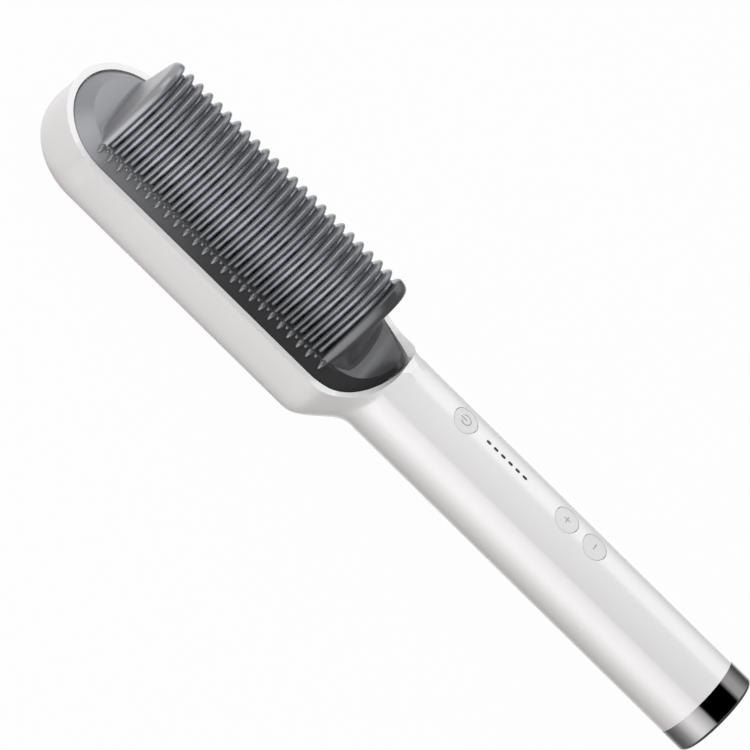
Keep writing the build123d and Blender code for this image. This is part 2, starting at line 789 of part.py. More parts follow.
# Chassis: a cradle for the cell with a flat deck for the board and a bed for the charging board
chassis_radius = bore_radius - chassis_clearance
cell_x = handle_front_x + cell_offset
cell_room = cell_radius + cell_clearance
charging_z = -socket_height / 2
charging_under_z = charging_z - charging_board_thickness
charging_end_x = -cap_wall - chassis_clearance
charging_x = charging_end_x - charging_board_length
end_ring = bore_radius - spigot_clearance - spigot_wall - end_post_gap - end_post_radius
end_screw_half = end_ring * cos(end_screw_angle)
end_screw_z = -end_ring * sin(end_screw_angle)
end_places = [(-end_screw_half, end_screw_z), (end_screw_half, end_screw_z)]
charging_climb_x = board_end_x + lead_bend
lead_pocket_x = min(charging_x, charging_climb_x - charging_lead_radius) - lead_room
with BuildPart() as chassis:
    with BuildSketch(Plane.YZ.offset(bore_front_x)):
        Circle(chassis_radius)
        with Locations((0, chassis_deck + reach / 2)):
            Rectangle(reach, reach, mode=Mode.SUBTRACT)
    extrude(amount=spigot_end_x - chassis_clearance - bore_front_x)
    # Bed and screw posts that reach into the cap
    with BuildSketch(Plane.YZ.offset(lead_pocket_x)):
        with Locations((0, charging_under_z - bed_thickness / 2)):
            Rectangle(2 * bed_half_width, bed_thickness)
        with Locations(*end_places):
            Circle(end_post_radius)
    extrude(amount=-cap_wall - lead_pocket_x)
    # Room for the charging board, its leads and the socket
    with BuildSketch(Plane.XY.offset(charging_under_z)):
        with Locations((lead_pocket_x / 2, 0)):
            Rectangle(-lead_pocket_x, 2 * bed_half_width)
    extrude(amount=reach, mode=Mode.SUBTRACT)
    # Cell pocket, open towards the board, with room for a tab at each end
    with BuildSketch(Plane.YZ.offset(cell_x - tab_thickness)):
        with Locations((0, cell_z)):
            Circle(cell_room)
        with Locations((0, cell_z + reach / 2)):
            Rectangle(2 * cell_room, reach)
    extrude(amount=cell_length + 2 * tab_thickness, mode=Mode.SUBTRACT)
    # Channel for the leads that climb to the board
    with BuildSketch(Plane.XY.offset(passage_z - lead_radius - lead_room)):
        with Locations(((bore_front_x + plug_x) / 2, 0)):
            Rectangle(plug_x - bore_front_x, 2 * (lead_spread + lead_room))
    extrude(amount=reach, mode=Mode.SUBTRACT)
    with BuildSketch(Plane.XY.offset(board_z - screw_length)):
        with Locations(*board_places):
            Circle(screw_radius)
    extrude(amount=reach, mode=Mode.SUBTRACT)
    with BuildSketch(Plane.YZ.offset(-cap_wall)):
        with Locations(*end_places):
            Circle(screw_radius)
    extrude(amount=-end_screw_length, mode=Mode.SUBTRACT)
chassis.part.label = "chassis"
export_step(chassis.part, "parts/chassis.step")

# Battery cell and the tabs on its ends
with BuildPart() as battery_cell:
    with BuildSketch(Plane.YZ.offset(cell_x)):
        with Locations((0, cell_z)):
            Circle(cell_radius)
    extrude(amount=cell_length)
    fillet(battery_cell.edges(), radius=tab_thickness)
battery_cell.part.label = "battery_cell"
export_step(battery_cell.part, "parts/battery_cell.step")

tab_low = cell_z - tab_reach
with BuildPart() as battery_tabs:
    with BuildSketch(Plane.XY.offset(tab_low)):
        for x in (cell_x - tab_thickness / 2, cell_x + cell_length + tab_thickness / 2):
            with Locations((x, 0)):
                Rectangle(tab_thickness, tab_width)
    extrude(amount=chassis_deck - tab_low)
battery_tabs.part.label = "battery_tabs"
export_step(battery_tabs.part, "parts/battery_tabs.step")

# Parts soldered to the control board
chip_x = handle_front_x + chip_offset
coil_x = board_end_x - coil_inset
transistor_x = (button_x["minus"] + switch_size / 2 + coil_x - coil_size / 2) / 2
with BuildPart() as controller_chip:
    with BuildSketch(Plane.XY.offset(board_z)):
        with Locations((chip_x, 0)):
            Rectangle(chip_size, chip_size)
    extrude(amount=chip_height)
    chamfer(controller_chip.faces().sort_by(Axis.Z)[-1].edges(), length=chip_height / 5)
controller_chip.part.label = "controller_chip"
export_step(controller_chip.part, "parts/controller_chip.step")

with BuildPart() as power_transistors:
    with BuildSketch(Plane.XY.offset(board_z)):
        with Locations((transistor_x, -transistor_pitch / 2), (transistor_x, transistor_pitch / 2)):
            Rectangle(transistor_length, transistor_width)
    extrude(amount=transistor_height)
power_transistors.part.label = "power_transistors"
export_step(power_transistors.part, "parts/power_transistors.step")

with BuildPart() as boost_coil:
    with BuildSketch(Plane.XY.offset(board_z)):
        with Locations((coil_x, 0)):
            RectangleRounded(coil_size, coil_size, coil_size / 5)
    extrude(amount=coil_height)
boost_coil.part.label = "boost_coil"
export_step(boost_coil.part, "parts/boost_coil.step")

# Each button has a cap with a flange inside the handle, a switch body and a sprung plunger
for name, x in button_x.items():
    with BuildPart() as button:
        with BuildSketch(Plane.XY.offset(flange_top_z)):
            with Locations((x, 0)):
                Circle(button_radius)
        extrude(amount=reach)
        with BuildSketch(Plane.YZ.offset(x - reach)):
            Circle(handle_radius)
        extrude(amount=2 * reach, mode=Mode.INTERSECT)
        fillet(button.edges().group_by(Axis.Z)[-1], radius=button_edge)
        with BuildSketch(Plane.XY.offset(flange_top_z - flange_thickness)):
            with Locations((x, 0)):
                Circle(flange_radius)
        extrude(amount=flange_thickness)
        with BuildSketch(Plane.XY.offset(plunger_top_z)):
            with Locations((x, 0)):
                Circle(stem_radius)
        extrude(amount=flange_top_z - plunger_top_z)
    button.part.label = f"{name}_button"
    export_step(button.part, f"parts/{name}_button.step")

    with BuildPart() as switch:
        with BuildSketch(Plane.XY.offset(board_z)):
            with Locations((x, 0)):
                Rectangle(switch_size, switch_size)
        extrude(amount=switch_height)
        with BuildSketch(Plane.XY.offset(board_z + switch_floor)):
            with Locations((x, 0)):
                Circle(plunger_radius + plunger_clearance)
        extrude(amount=switch_height, mode=Mode.SUBTRACT)
    switch.part.label = f"{name}_switch"
    export_step(switch.part, f"parts/{name}_switch.step")

    plunger_low = board_z + switch_floor + button_travel + switch_margin
    with BuildPart() as plunger:
        with BuildSketch(Plane.XY.offset(plunger_low)):
            with Locations((x, 0)):
                Circle(plunger_radius)
        extrude(amount=plunger_top_z - plunger_low)
    plunger.part.label = f"{name}_plunger"
    export_step(plunger.part, f"parts/{name}_plunger.step")

# Light guide glued under the handle's front, with oval tips in the indicator holes
guide_length = window_x[-1] - window_x[0] + 2 * guide_margin
with BuildPart() as indicator_window:
    with BuildSketch(Plane.XY.offset(bore_radius - guide_thickness)):
        with Locations((window_mid_x, 0)):
            RectangleRounded(guide_length, 2 * guide_half_width, guide_margin / 2)
    extrude(amount=reach)
    with BuildSketch(Plane.YZ.offset(window_mid_x - reach)):
        Circle(bore_radius - window_clearance)
    extrude(amount=2 * reach, mode=Mode.INTERSECT)
    with BuildSketch(Plane.XY.offset(bore_radius - guide_thickness)):
        with Locations(*[(x, 0) for x in window_x]):
            SlotOverall(window_length - 2 * window_clearance, window_width - 2 * window_clearance)
    extrude(amount=handle_radius - window_recess - bore_radius + guide_thickness)
indicator_window.part.label = "indicator_window"
export_step(indicator_window.part, "parts/indicator_window.step")

with BuildPart() as indicator_lights:
    with BuildSketch(Plane.XY.offset(board_z)):
        with Locations(*[(x, 0) for x in window_x]):
            Rectangle(light_width, light_length)
    extrude(amount=light_height)
indicator_lights.part.label = "indicator_lights"
export_step(indicator_lights.part, "parts/indicator_lights.step")

# Charging board, socket and the leads up to the control board
with BuildPart() as charging_board:
    with BuildSketch(Plane.XY.offset(charging_under_z)):
        with Locations(((charging_x + charging_end_x) / 2, 0)):
            Rectangle(charging_board_length, 2 * charging_board_half)
    extrude(amount=charging_board_thickness)
charging_board.part.label = "charging_board"
export_step(charging_board.part, "parts/charging_board.step")

socket_mouth_x = -socket_inset
with BuildPart() as charging_socket:
    with BuildSketch(Plane.YZ.offset(socket_mouth_x)):
        SlotOverall(socket_width, socket_height)
    extrude(amount=-socket_length)
    with BuildSketch(Plane.YZ.offset(socket_mouth_x)):
        SlotOverall(socket_width - 2 * socket_wall, socket_height - 2 * socket_wall)
    extrude(amount=socket_back - socket_length, mode=Mode.SUBTRACT)
charging_socket.part.label = "charging_socket"
export_step(charging_socket.part, "parts/charging_socket.step")

with BuildPart() as socket_tongue:
    with BuildSketch(Plane.YZ.offset(socket_mouth_x - socket_length + socket_back)):
        Rectangle(tongue_width, tongue_thickness)
    extrude(amount=tongue_length)
socket_tongue.part.label = "socket_tongue"
export_step(socket_tongue.part, "parts/socket_tongue.step")

charging_lead_z = charging_z + charging_lead_radius
board_lead_z = board_z + charging_lead_radius
charging_route = [
    (max(charging_x, charging_climb_x) + drop_run, charging_lead_z),
    (charging_climb_x, charging_lead_z),
    (charging_climb_x, board_lead_z),
    (board_end_x - lead_bend, board_lead_z),
]
charging_leads = leads(
    charging_route, (-charging_lead_spread, charging_lead_spread), charging_lead_radius
)
save(charging_leads, "charging_leads")

# Chrome cap with a spigot in the handle's bore, a port for the socket and two screws
spigot_radius = bore_radius - spigot_clearance
groove_floor = bore_radius - 2 * seal_section - 2 * seal_clearance
groove_x = (cap_joint_x + spigot_end_x) / 2
with BuildPart() as end_cap:
    with BuildSketch(Plane.YZ.offset(cap_joint_x)):
        Circle(handle_radius)
    extrude(amount=cap_length)
    fillet(end_cap.edges().sort_by(Axis.X)[-1], radius=cap_edge_radius)
    with BuildSketch(Plane.YZ.offset(spigot_end_x)):
        Circle(spigot_radius)
    extrude(amount=spigot_length)
    with BuildSketch(Plane.YZ.offset(spigot_end_x)):
        Circle(spigot_radius - spigot_wall)
    extrude(amount=-cap_wall - spigot_end_x, mode=Mode.SUBTRACT)
    with BuildSketch(Plane.YZ.offset(groove_x - seal_section - seal_clearance)):
        Circle(handle_radius)
        Circle(groove_floor, mode=Mode.SUBTRACT)
    extrude(amount=2 * (seal_section + seal_clearance), mode=Mode.SUBTRACT)
    with BuildSketch(Plane.YZ.offset(-cap_wall)):
        SlotOverall(socket_width + 2 * port_clearance, socket_height + 2 * port_clearance)
        with Locations(*end_places):
            Circle(screw_radius + hole_clearance)
    extrude(amount=cap_wall, mode=Mode.SUBTRACT)
    with BuildSketch(Plane.YZ.offset(-screw_head_height)):
        with Locations(*end_places):
            Circle(screw_head_radius + hole_clearance)
    extrude(amount=screw_head_height, mode=Mode.SUBTRACT)
end_cap.part.label = "end_cap"
export_step(end_cap.part, "parts/end_cap.step")

end_screws = screws(
    Plane.YZ.offset(-screw_head_height), end_places, end_screw_length + cap_wall - screw_head_height
)
save(end_screws, "end_screws")

# Seal ring around the spigot
with BuildPart() as cap_seal:
    with BuildSketch(Plane.XZ):
        with Locations((groove_x, bore_radius - seal_section - seal_clearance / 2)):
            Circle(seal_section)
    revolve(axis=Axis.X)
cap_seal.part.label = "cap_seal"
export_step(cap_seal.part, "parts/cap_seal.step")
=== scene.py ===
"""Looks of a heated comb brush: finishes, a finer comb and fins, button signs, light and camera."""

import logging
from collections.abc import Callable, Iterable
from dataclasses import dataclass, replace
from enum import Enum
from math import cos, pi, radians, sin, sqrt

import bmesh
import bpy
from bmesh.types import BMEdge, BMesh, BMFace, BMVert
from bpy.types import ID, Material, Node, NodeSocket, NodeTree, Object
from mathutils import Matrix, Vector


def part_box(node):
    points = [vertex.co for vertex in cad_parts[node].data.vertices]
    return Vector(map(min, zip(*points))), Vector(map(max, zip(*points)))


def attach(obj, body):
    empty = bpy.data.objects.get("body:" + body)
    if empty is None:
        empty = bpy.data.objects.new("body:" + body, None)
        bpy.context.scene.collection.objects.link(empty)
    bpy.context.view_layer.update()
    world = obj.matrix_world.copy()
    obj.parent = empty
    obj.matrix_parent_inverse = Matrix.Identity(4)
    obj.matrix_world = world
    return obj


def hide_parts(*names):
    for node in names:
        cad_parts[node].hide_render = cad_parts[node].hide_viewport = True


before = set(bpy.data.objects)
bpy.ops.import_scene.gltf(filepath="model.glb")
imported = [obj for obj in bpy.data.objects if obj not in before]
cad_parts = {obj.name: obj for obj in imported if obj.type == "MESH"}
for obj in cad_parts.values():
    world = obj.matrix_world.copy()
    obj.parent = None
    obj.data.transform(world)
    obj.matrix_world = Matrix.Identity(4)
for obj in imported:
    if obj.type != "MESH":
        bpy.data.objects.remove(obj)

log = logging.getLogger("heated_brush")

MM = 0.001
MERGE_DISTANCE = 0.01 * MM

Triple = tuple[float, float, float]
Colour = tuple[float, float, float, float]
Element = BMVert | BMEdge | BMFace

# What an input of a node takes: the output of another node, or a plain value
Source = NodeSocket | float | tuple[float, ...]
Inputs = dict[str | int, Source]

# Faces round and from pole to pole of the small balls that become toes and studs
BALL = {"u_segments": 12, "v_segments": 8}

# Every arch across the brush falls from its crown to its feet by this power of the way across
ARCH_POWER = 2.3


class Body(Enum):
    """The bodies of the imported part: the brush itself and its three buttons."""

    BRUSH = "brush"
    POWER = "power_key"
    PLUS = "plus_key"
    MINUS = "minus_key"


class Sign(Enum):
    """The signs on the three buttons."""

    POWER = "power"
    PLUS = "plus"
    MINUS = "minus"


def tone(red: int, green: int, blue: int) -> Colour:
    """Turn a colour as it looks on a screen into the linear colour that a shader takes.

    Args:
        red: Red share, 0 to 255.
        green: Green share, 0 to 255.
        blue: Blue share, 0 to 255.

    Returns:
        The linear colour with an alpha of 1.
    """
    shares = (value / 255 for value in (red, green, blue))
    lines = [s / 12.92 if s <= 0.04045 else ((s + 0.055) / 1.055) ** 2.4 for s in shares]
    return (*lines, 1.0)


def grey(level: float) -> Colour:
    """Give the grey of a linear level."""
    return (level, level, level, 1.0)


class Nodes:
    """Adds the nodes of one tree and links them."""

    def __init__(self, tree: NodeTree) -> None:
        """Keep the tree that the nodes go into."""
        self.tree = tree

    def add(self, kind: str, inputs: Inputs | None = None, **values: object) -> Node:
        """Add a node.

        Args:
            kind: The node's type.
            inputs: A value or the output of another node for each input named here.
            values: Properties of the node to set, before its inputs.

        Returns:
            The new node.
        """
        node = self.tree.nodes.new(kind)
        for key, value in values.items():
            setattr(node, key, value)
        self.feed(node, inputs or {})
        return node

    def out(self, kind: str, output: str | int, inputs: Inputs, **values: object) -> NodeSocket:
        """Add a node and return one of its outputs."""
        return self.add(kind, inputs, **values).outputs[output]

    def math(self, operation: str, *values: Source) -> NodeSocket:
        """Add a math node for some values and return its result."""
        return self.out("ShaderNodeMath", 0, dict(enumerate(values)), operation=operation)

    def blend(self, factor: Source, first: Source, second: Source, way: str = "MIX") -> NodeSocket:
        """Add a node that mixes two colours and return the mixed colour."""
        inputs = {"Factor": factor, "A": first, "B": second}
        return self.out("ShaderNodeMix", "Result", inputs, data_type="RGBA", blend_type=way)

    def remap(
        self,
        value: Source,
        source: tuple[Source, Source] = (0.0, 1.0),
        target: tuple[Source, Source] = (0.0, 1.0),
        eased: bool = False,
    ) -> NodeSocket:
        """Add a node that maps one range to another.

        Args:
            value: The value to map.
            source: Start and end of the range that the value runs over.
            target: Start and end of the range that it is mapped to.
            eased: Whether the result eases in and out.

        Returns:
            The mapped value.
        """
        inputs = {"Value": value, "From Min": source[0], "From Max": source[1]}
        inputs |= {"To Min": target[0], "To Max": target[1]}
        kind = "SMOOTHSTEP" if eased else "LINEAR"
        return self.out("ShaderNodeMapRange", "Result", inputs, interpolation_type=kind)

    def feed(self, node: Node, inputs: Inputs) -> None:
        """Link or set inputs of a node.

        Args:
            node: The node.
            inputs: A value or the output of another node for each input named here.
        """
        for key, value in inputs.items():
            if isinstance(value, NodeSocket):
                self.tree.links.new(value, node.inputs[key])
            else:
                node.inputs[key].default_value = value


def new_group(name: str, inputs: dict[str, object], outputs: dict[str, str]) -> Nodes:
    """Start a shader node group.

    Args:
        name: The group's name.
        inputs: Name and starting value of each input. Four numbers are a colour, three a vector.
        outputs: Name and socket type of each output.

    Returns:
        The group's nodes, with its input and output nodes in place.
    """
    tree = bpy.data.node_groups.new(name, "ShaderNodeTree")
    kinds = {3: "NodeSocketVector", 4: "NodeSocketColor"}
    for key, value in inputs.items():
        kind = kinds[len(value)] if isinstance(value, tuple) else "NodeSocketFloat"
        socket = tree.interface.new_socket(key, in_out="INPUT", socket_type=kind)
        socket.default_value = value
    for key, kind in outputs.items():
        tree.interface.new_socket(key, in_out="OUTPUT", socket_type=kind)
    nodes = Nodes(tree)
    nodes.add("NodeGroupInput", name="inputs")
    nodes.add("NodeGroupOutput", name="outputs")
    return nodes


def bare_material(name: str) -> tuple[Material, Nodes]:
    """Start a material that has only its output node.

    Args:
        name: The material's name.

    Returns:
        The material and its nodes.
    """
    made = bpy.data.materials.new(name)
    made.use_nodes = True
    nodes = Nodes(made.node_tree)
    nodes.tree.nodes.remove(nodes.tree.nodes["Principled BSDF"])
    return made, nodes


PATCH_RANGE = (0.35, 0.65)
PATCH_DETAIL = 3.0
GRAIN_DETAIL = 2.0
GRAIN_SHARE = 0.5
GRAIN_HEIGHT = 0.1 * MM

# The surface group's inputs, which a finish sets from its fields of the same names
SURFACE_INPUTS = {
    "Base": (0.8, 0.8, 0.8, 1.0),
    "Patch": (0.7, 0.7, 0.7, 1.0),
    "Patch Scale": 20.0,
    "Stretch": (1.0, 1.0, 1.0),
    "Smooth": 0.2,
    "Rough": 0.3,
    "Grain Scale": 1500.0,
    "Grain Depth": 0.02,
    # The shade inputs are painted shade, a darkening of the colour along an axis
    "Shade Axis": (0.0, 0.0, 1.0),
    "Shade Level": 0.0,
    "Shade Span": 0.01,
    "Shade": 1.0,
}
SURFACE_OUTPUTS = {
    "Colour": "NodeSocketColor",
    "Roughness": "NodeSocketFloat",
    "Normal": "NodeSocketVector",
}


def surface_group() -> NodeTree:
    """Build the group for moulded and painted surfaces.

    Slow patches change the colour and the gloss a little, and a fine grain gives the relief. The
    colour can darken along an axis, as painted shade.

    Returns:
        The node group.
    """
    nodes = new_group("moulded_surface", SURFACE_INPUTS, SURFACE_OUTPUTS)
    start = nodes.tree.nodes["inputs"].outputs
    place = nodes.add("ShaderNodeTexCoord").outputs["Object"]
    stretched = nodes.out(
        "ShaderNodeVectorMath", 0, {0: place, 1: start["Stretch"]}, operation="MULTIPLY"
    )
    patches = nodes.out(
        "ShaderNodeTexNoise",
        "Fac",
        {"Vector": stretched, "Scale": start["Patch Scale"], "Detail": PATCH_DETAIL},
    )
    grain = nodes.out(
        "ShaderNodeTexNoise",
        "Fac",
        {"Vector": stretched, "Scale": start["Grain Scale"], "Detail": GRAIN_DETAIL},
    )
    contrast = nodes.remap(patches, PATCH_RANGE, eased=True)
    colour = nodes.blend(contrast, start["Base"], start["Patch"])
    uneven = nodes.math("MULTIPLY_ADD", grain, GRAIN_SHARE, contrast)
    gloss = nodes.remap(uneven, (0.0, 1 + GRAIN_SHARE), (start["Smooth"], start["Rough"]))
    relief = nodes.out(
        "ShaderNodeBump",
        "Normal",
        {"Height": grain, "Strength": start["Grain Depth"], "Distance": GRAIN_HEIGHT},
    )
    # Painted shade: the colour darkens towards the low end of the shade axis
    along = nodes.out(
        "ShaderNodeVectorMath", "Value", {0: place, 1: start["Shade Axis"]}, operation="DOT_PRODUCT"
    )
    above = nodes.math("SUBTRACT", along, start["Shade Level"])
    rise = nodes.math("DIVIDE", above, start["Shade Span"])
    shade = nodes.remap(rise, target=(start["Shade"], 1.0), eased=True)
    shaded = nodes.blend(1.0, colour, shade, "MULTIPLY")
    surface = {"Colour": shaded, "Roughness": gloss, "Normal": relief}
    nodes.feed(nodes.tree.nodes["outputs"], surface)
    return nodes.tree


@dataclass(frozen=True)
class Finish:
    """A finish with slow patches and a fine grain.

    The scales are per metre. The shade fields are painted shade: where the place along the shade
    axis, in metres, is at the shade level or less, the colour is multiplied by shade, and from
    there it brightens over the shade span.
    """

    name: str
    base: Colour
    patch: Colour
    smooth: float = 0.2
    rough: float = 0.3
    patch_scale: float = 20.0
    grain_scale: float = 1500.0
    grain_depth: float = 0.02
    stretch: Triple = (1.0, 1.0, 1.0)
    metallic: float = 0.0
    coat: float = 0.0
    coat_roughness: float = 0.05
    sheen: float = 0.0
    shade_axis: Triple = (0.0, 0.0, 1.0)
    shade_level: float = 0.0
    shade_span: float = 0.01
    shade: float = 1.0

    def material(self) -> Material:
        """Build the material, or return the one built before.

        Returns:
            The material.
        """
        name = f"{self.name}_finish"
        found = bpy.data.materials.get(name)
        if found:
            return found
        made = bpy.data.materials.new(name)
        made.use_nodes = True
        nodes = Nodes(made.node_tree)
        group = bpy.data.node_groups.get("moulded_surface") or surface_group()
        inputs = {key: getattr(self, key.lower().replace(" ", "_")) for key in SURFACE_INPUTS}
        surface = nodes.add("ShaderNodeGroup", inputs, node_tree=group).outputs
        shader = {
            "Base Color": surface["Colour"],
            "Roughness": surface["Roughness"],
            "Normal": surface["Normal"],
            "Metallic": self.metallic,
            "Coat Weight": self.coat,
            "Coat Roughness": self.coat_roughness,
            "Sheen Weight": self.sheen,
        }
        nodes.feed(made.node_tree.nodes["Principled BSDF"], shader)
        return made


# The shell's colour carries painted shade: it darkens towards the head's tip
SHELL = Finish(
    "shell_white",
    tone(239, 238, 238),
    tone(237, 236, 236),
    smooth=0.18,
    rough=0.24,
    patch_scale=9.0,
    grain_scale=900.0,
    grain_depth=0.01,
    coat=1.0,
    coat_roughness=0.04,
    shade_axis=(1.0, 0.0, 0.0),
    shade_level=-290.0 * MM,
    shade_span=60.0 * MM,
    shade=0.88,
)
BUTTON = Finish(
    "button_grey",
    tone(225, 225, 226),
    tone(222, 222, 223),
    smooth=0.5,
    rough=0.58,
    patch_scale=60.0,
    grain_scale=3000.0,
    grain_depth=0.03,
)
SIGN = Finish(
    "sign_ink",
    tone(165, 165, 168),
    tone(158, 158, 162),
    smooth=0.4,
    rough=0.5,
    patch_scale=300.0,
)
# Comb grey with painted shade: darker towards the feet of the ribs and towards the neck, lighter
# towards the tip
COMB = Finish(
    "comb_grey",
    tone(130, 131, 134),
    tone(124, 125, 129),
    smooth=0.24,
    rough=0.32,
    patch_scale=35.0,
    grain_scale=2200.0,
    grain_depth=0.05,
    metallic=0.4,
    shade_axis=(-0.14, 0.0, 1.0),
    shade_level=35.0 * MM,
    shade_span=16.0 * MM,
    shade=0.4,
)
# A lighter copy of the comb grey, painted light at the tip, with painted shade that darkens it
# towards the neck; for the platform and the end walls
PLATFORM = replace(
    COMB,
    name="comb_platform",
    base=tone(142, 143, 146),
    patch=tone(136, 137, 141),
    shade_axis=(-1.0, 0.0, 0.0),
    shade_level=165.0 * MM,
    shade_span=110.0 * MM,
    shade=0.36,
)
# The platform's grey with deeper painted shade for the sloped edge: dark towards the neck, light at
# the tip
SLOPE = replace(
    PLATFORM, name="comb_slope", shade_level=192.0 * MM, shade_span=84.0 * MM, shade=0.16
)
# The comb grey made lighter for the toes as painted light, with milder painted shade towards the
# feet and the neck
TOE = replace(COMB, name="comb_toe", base=tone(140, 141, 143), patch=tone(132, 133, 136), shade=0.7)
# The fins keep the comb's painted shade: darker towards their feet and towards the neck
FIN = replace(
    COMB,
    name="coated_fin",
    base=tone(136, 140, 147),
    patch=tone(124, 128, 137),
    smooth=0.28,
    rough=0.38,
    patch_scale=90.0,
    grain_scale=2600.0,
    stretch=(1.0, 1.0, 0.25),
    metallic=0.5,
)
CHROME = Finish(
    "black_chrome",
    tone(125, 123, 124),
    tone(121, 119, 120),
    smooth=0.06,
    rough=0.12,
    patch_scale=40.0,
    grain_scale=1200.0,
    grain_depth=0.01,
    metallic=1.0,
)
WINDOW = Finish(
    "smoked_window",
    tone(26, 25, 27),
    tone(20, 19, 21),
    smooth=0.3,
    rough=0.4,
    patch_scale=400.0,
)
LENS = Finish("light_lens", tone(240, 236, 214), tone(232, 226, 198), patch_scale=900.0)
CERAMIC = Finish(
    "heater_ceramic", tone(228, 224, 214), tone(214, 208, 196), smooth=0.45, rough=0.6
)
MICA = Finish("mica", tone(176, 158, 124), tone(150, 130, 98), smooth=0.25, rough=0.45)
STEEL = Finish(
    "steel",
    tone(186, 186, 188),
    tone(168, 168, 172),
    smooth=0.2,
    rough=0.35,
    patch_scale=120.0,
    grain_scale=3500.0,
    grain_depth=0.08,
    metallic=1.0,
)
TRAY = Finish("tray_plastic", tone(196, 188, 172), tone(188, 178, 160), smooth=0.45, rough=0.6)
BOARD = Finish(
    "board_green",
    tone(34, 92, 58),
    tone(26, 76, 48),
    smooth=0.25,
    rough=0.4,
    patch_scale=220.0,
    grain_scale=1800.0,
    grain_depth=0.15,
)
BLACK = Finish("black_plastic", tone(34, 34, 36), tone(28, 28, 30), smooth=0.35, rough=0.5)
PLUNGER = Finish("plunger_plastic", tone(70, 66, 60), tone(60, 56, 52), smooth=0.35, rough=0.5)
RED_LEAD = Finish("lead_red", tone(168, 34, 30), tone(150, 28, 26), smooth=0.35, rough=0.5)
WHITE_LEAD = Finish("lead_white", tone(226, 224, 220), tone(214, 212, 206), smooth=0.4, rough=0.55)
RUBBER = Finish(
    "seal_rubber", tone(40, 40, 42), tone(32, 32, 34), smooth=0.6, rough=0.8, sheen=0.2
)
WRAP = Finish("cell_wrap", tone(44, 104, 168), tone(36, 90, 150), smooth=0.25, rough=0.35)

NODE_FINISHES = {
    "housing": SHELL,
    "comb_cover": COMB,
    "heating_fins": FIN,
    "ceramic_heater": CERAMIC,
    "insulating_sheet": MICA,
    "heater_clamp": STEEL,
    "clamp_screws": STEEL,
    "insulator_tray": TRAY,
    "cover_screws": STEEL,
    "temperature_sensor": BLACK,
    "thermal_fuse": STEEL,
    "heater_leads": RED_LEAD,
    "sensor_leads": WHITE_LEAD,
    "wire_grommet": RUBBER,
    "chassis": BLACK,
    "battery_cell": WRAP,
    "battery_tabs": STEEL,
    "control_board": BOARD,
    "board_screws": STEEL,
    "controller_chip": BLACK,
    "power_transistors": BLACK,
    "boost_coil": BLACK,
    "heater_connector": WHITE_LEAD,
    "power_switch": BLACK,
    "plus_switch": BLACK,
    "minus_switch": BLACK,
    "power_plunger": PLUNGER,
    "plus_plunger": PLUNGER,
    "minus_plunger": PLUNGER,
    "power_button": BUTTON,
    "plus_button": BUTTON,
    "minus_button": BUTTON,
    "indicator_lights": LENS,
    "indicator_window": WINDOW,
    "charging_board": BOARD,
    "charging_socket": STEEL,
    "socket_tongue": BLACK,
    "charging_leads": RED_LEAD,
    "end_cap": CHROME,
    "cap_seal": RUBBER,
    "end_screws": STEEL,
}


def add_object(name: str, data: ID) -> Object:
    """Add an object to the scene.

    Args:
        name: The object's name.
        data: Its mesh, camera or light.

    Returns:
        The new object, at the origin.
    """
    made = bpy.data.objects.new(name, data)
    bpy.context.scene.collection.objects.link(made)
    return made


def mesh_object(bm: BMesh, name: str, material: Material) -> Object:
    """Turn a finished bmesh into an object.

    Args:
        bm: The bmesh, which is freed.
        name: The object's name.
        material: The material of the whole mesh.

    Returns:
        The new object, at the origin.
    """
    mesh = bpy.data.meshes.new(name)
    bm.to_mesh(mesh)
    bm.free()
    mesh.materials.append(material)
    return add_object(name, mesh)


def new_piece(bm: BMesh, name: str, finish: Finish, body: Body) -> Object:
    """Turn a finished bmesh into a piece that rides on a body.

    Args:
        bm: The bmesh, which is freed.
        name: The piece's name.
        finish: The finish of the whole piece.
        body: The body that the piece moves with.

    Returns:
        The new piece.
    """
    piece = mesh_object(bm, name, finish.material())
    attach(piece, body.value)
    log.info("%s: %d faces", name, len(piece.data.polygons))
    return piece


def draped_grid(
    bm: BMesh, across: int, along: int, shape: Callable[[float, float], Vector]
) -> list[BMVert]:
    """Add a grid and lay it over a shape.

    Args:
        bm: The bmesh that gets the grid.
        across: Number of faces in the first direction.
        along: Number of faces in the second direction.
        shape: Gives the place of the point at two shares between 0 and 1.

    Returns:
        The grid's vertices.
    """
    made = bmesh.ops.create_grid(bm, x_segments=across, y_segments=along, size=1.0)["verts"]
    for vert in made:
        vert.co = shape((vert.co.x + 1) / 2, (vert.co.y + 1) / 2)
    return made


def everything(bm: BMesh) -> list[Element]:
    """List all vertices, edges and faces of a bmesh."""
    return bm.verts[:] + bm.edges[:] + bm.faces[:]


def edges_at(verts: Iterable[BMVert]) -> list[BMEdge]:
    """List the edges that end at any of the vertices, each one once."""
    return list({edge for vert in verts for edge in vert.link_edges})


def tidy_mesh(bm: BMesh, smooth: bool = True) -> None:
    """Merge doubles, turn the faces outward and shade them.

    Args:
        bm: The bmesh to tidy.
        smooth: Whether the faces are shaded smooth.
    """
    bmesh.ops.remove_doubles(bm, verts=bm.verts, dist=MERGE_DISTANCE)
    bmesh.ops.recalc_face_normals(bm, faces=bm.faces)
    for face in bm.faces:
        face.smooth = smooth


def repeat_along_x(bm: BMesh, places: list[float]) -> None:
    """Set copies of the whole bmesh along X.

    Args:
        bm: The bmesh, modelled around X = 0.
        places: Where the copies go.
    """
    original = everything(bm)
    copies = [bmesh.ops.duplicate(bm, geom=original)["geom"] for _ in places[1:]]
    for geometry, x in zip([original, *copies], places):
        verts = [item for item in geometry if isinstance(item, BMVert)]
        bmesh.ops.translate(bm, verts=verts, vec=(x, 0, 0))


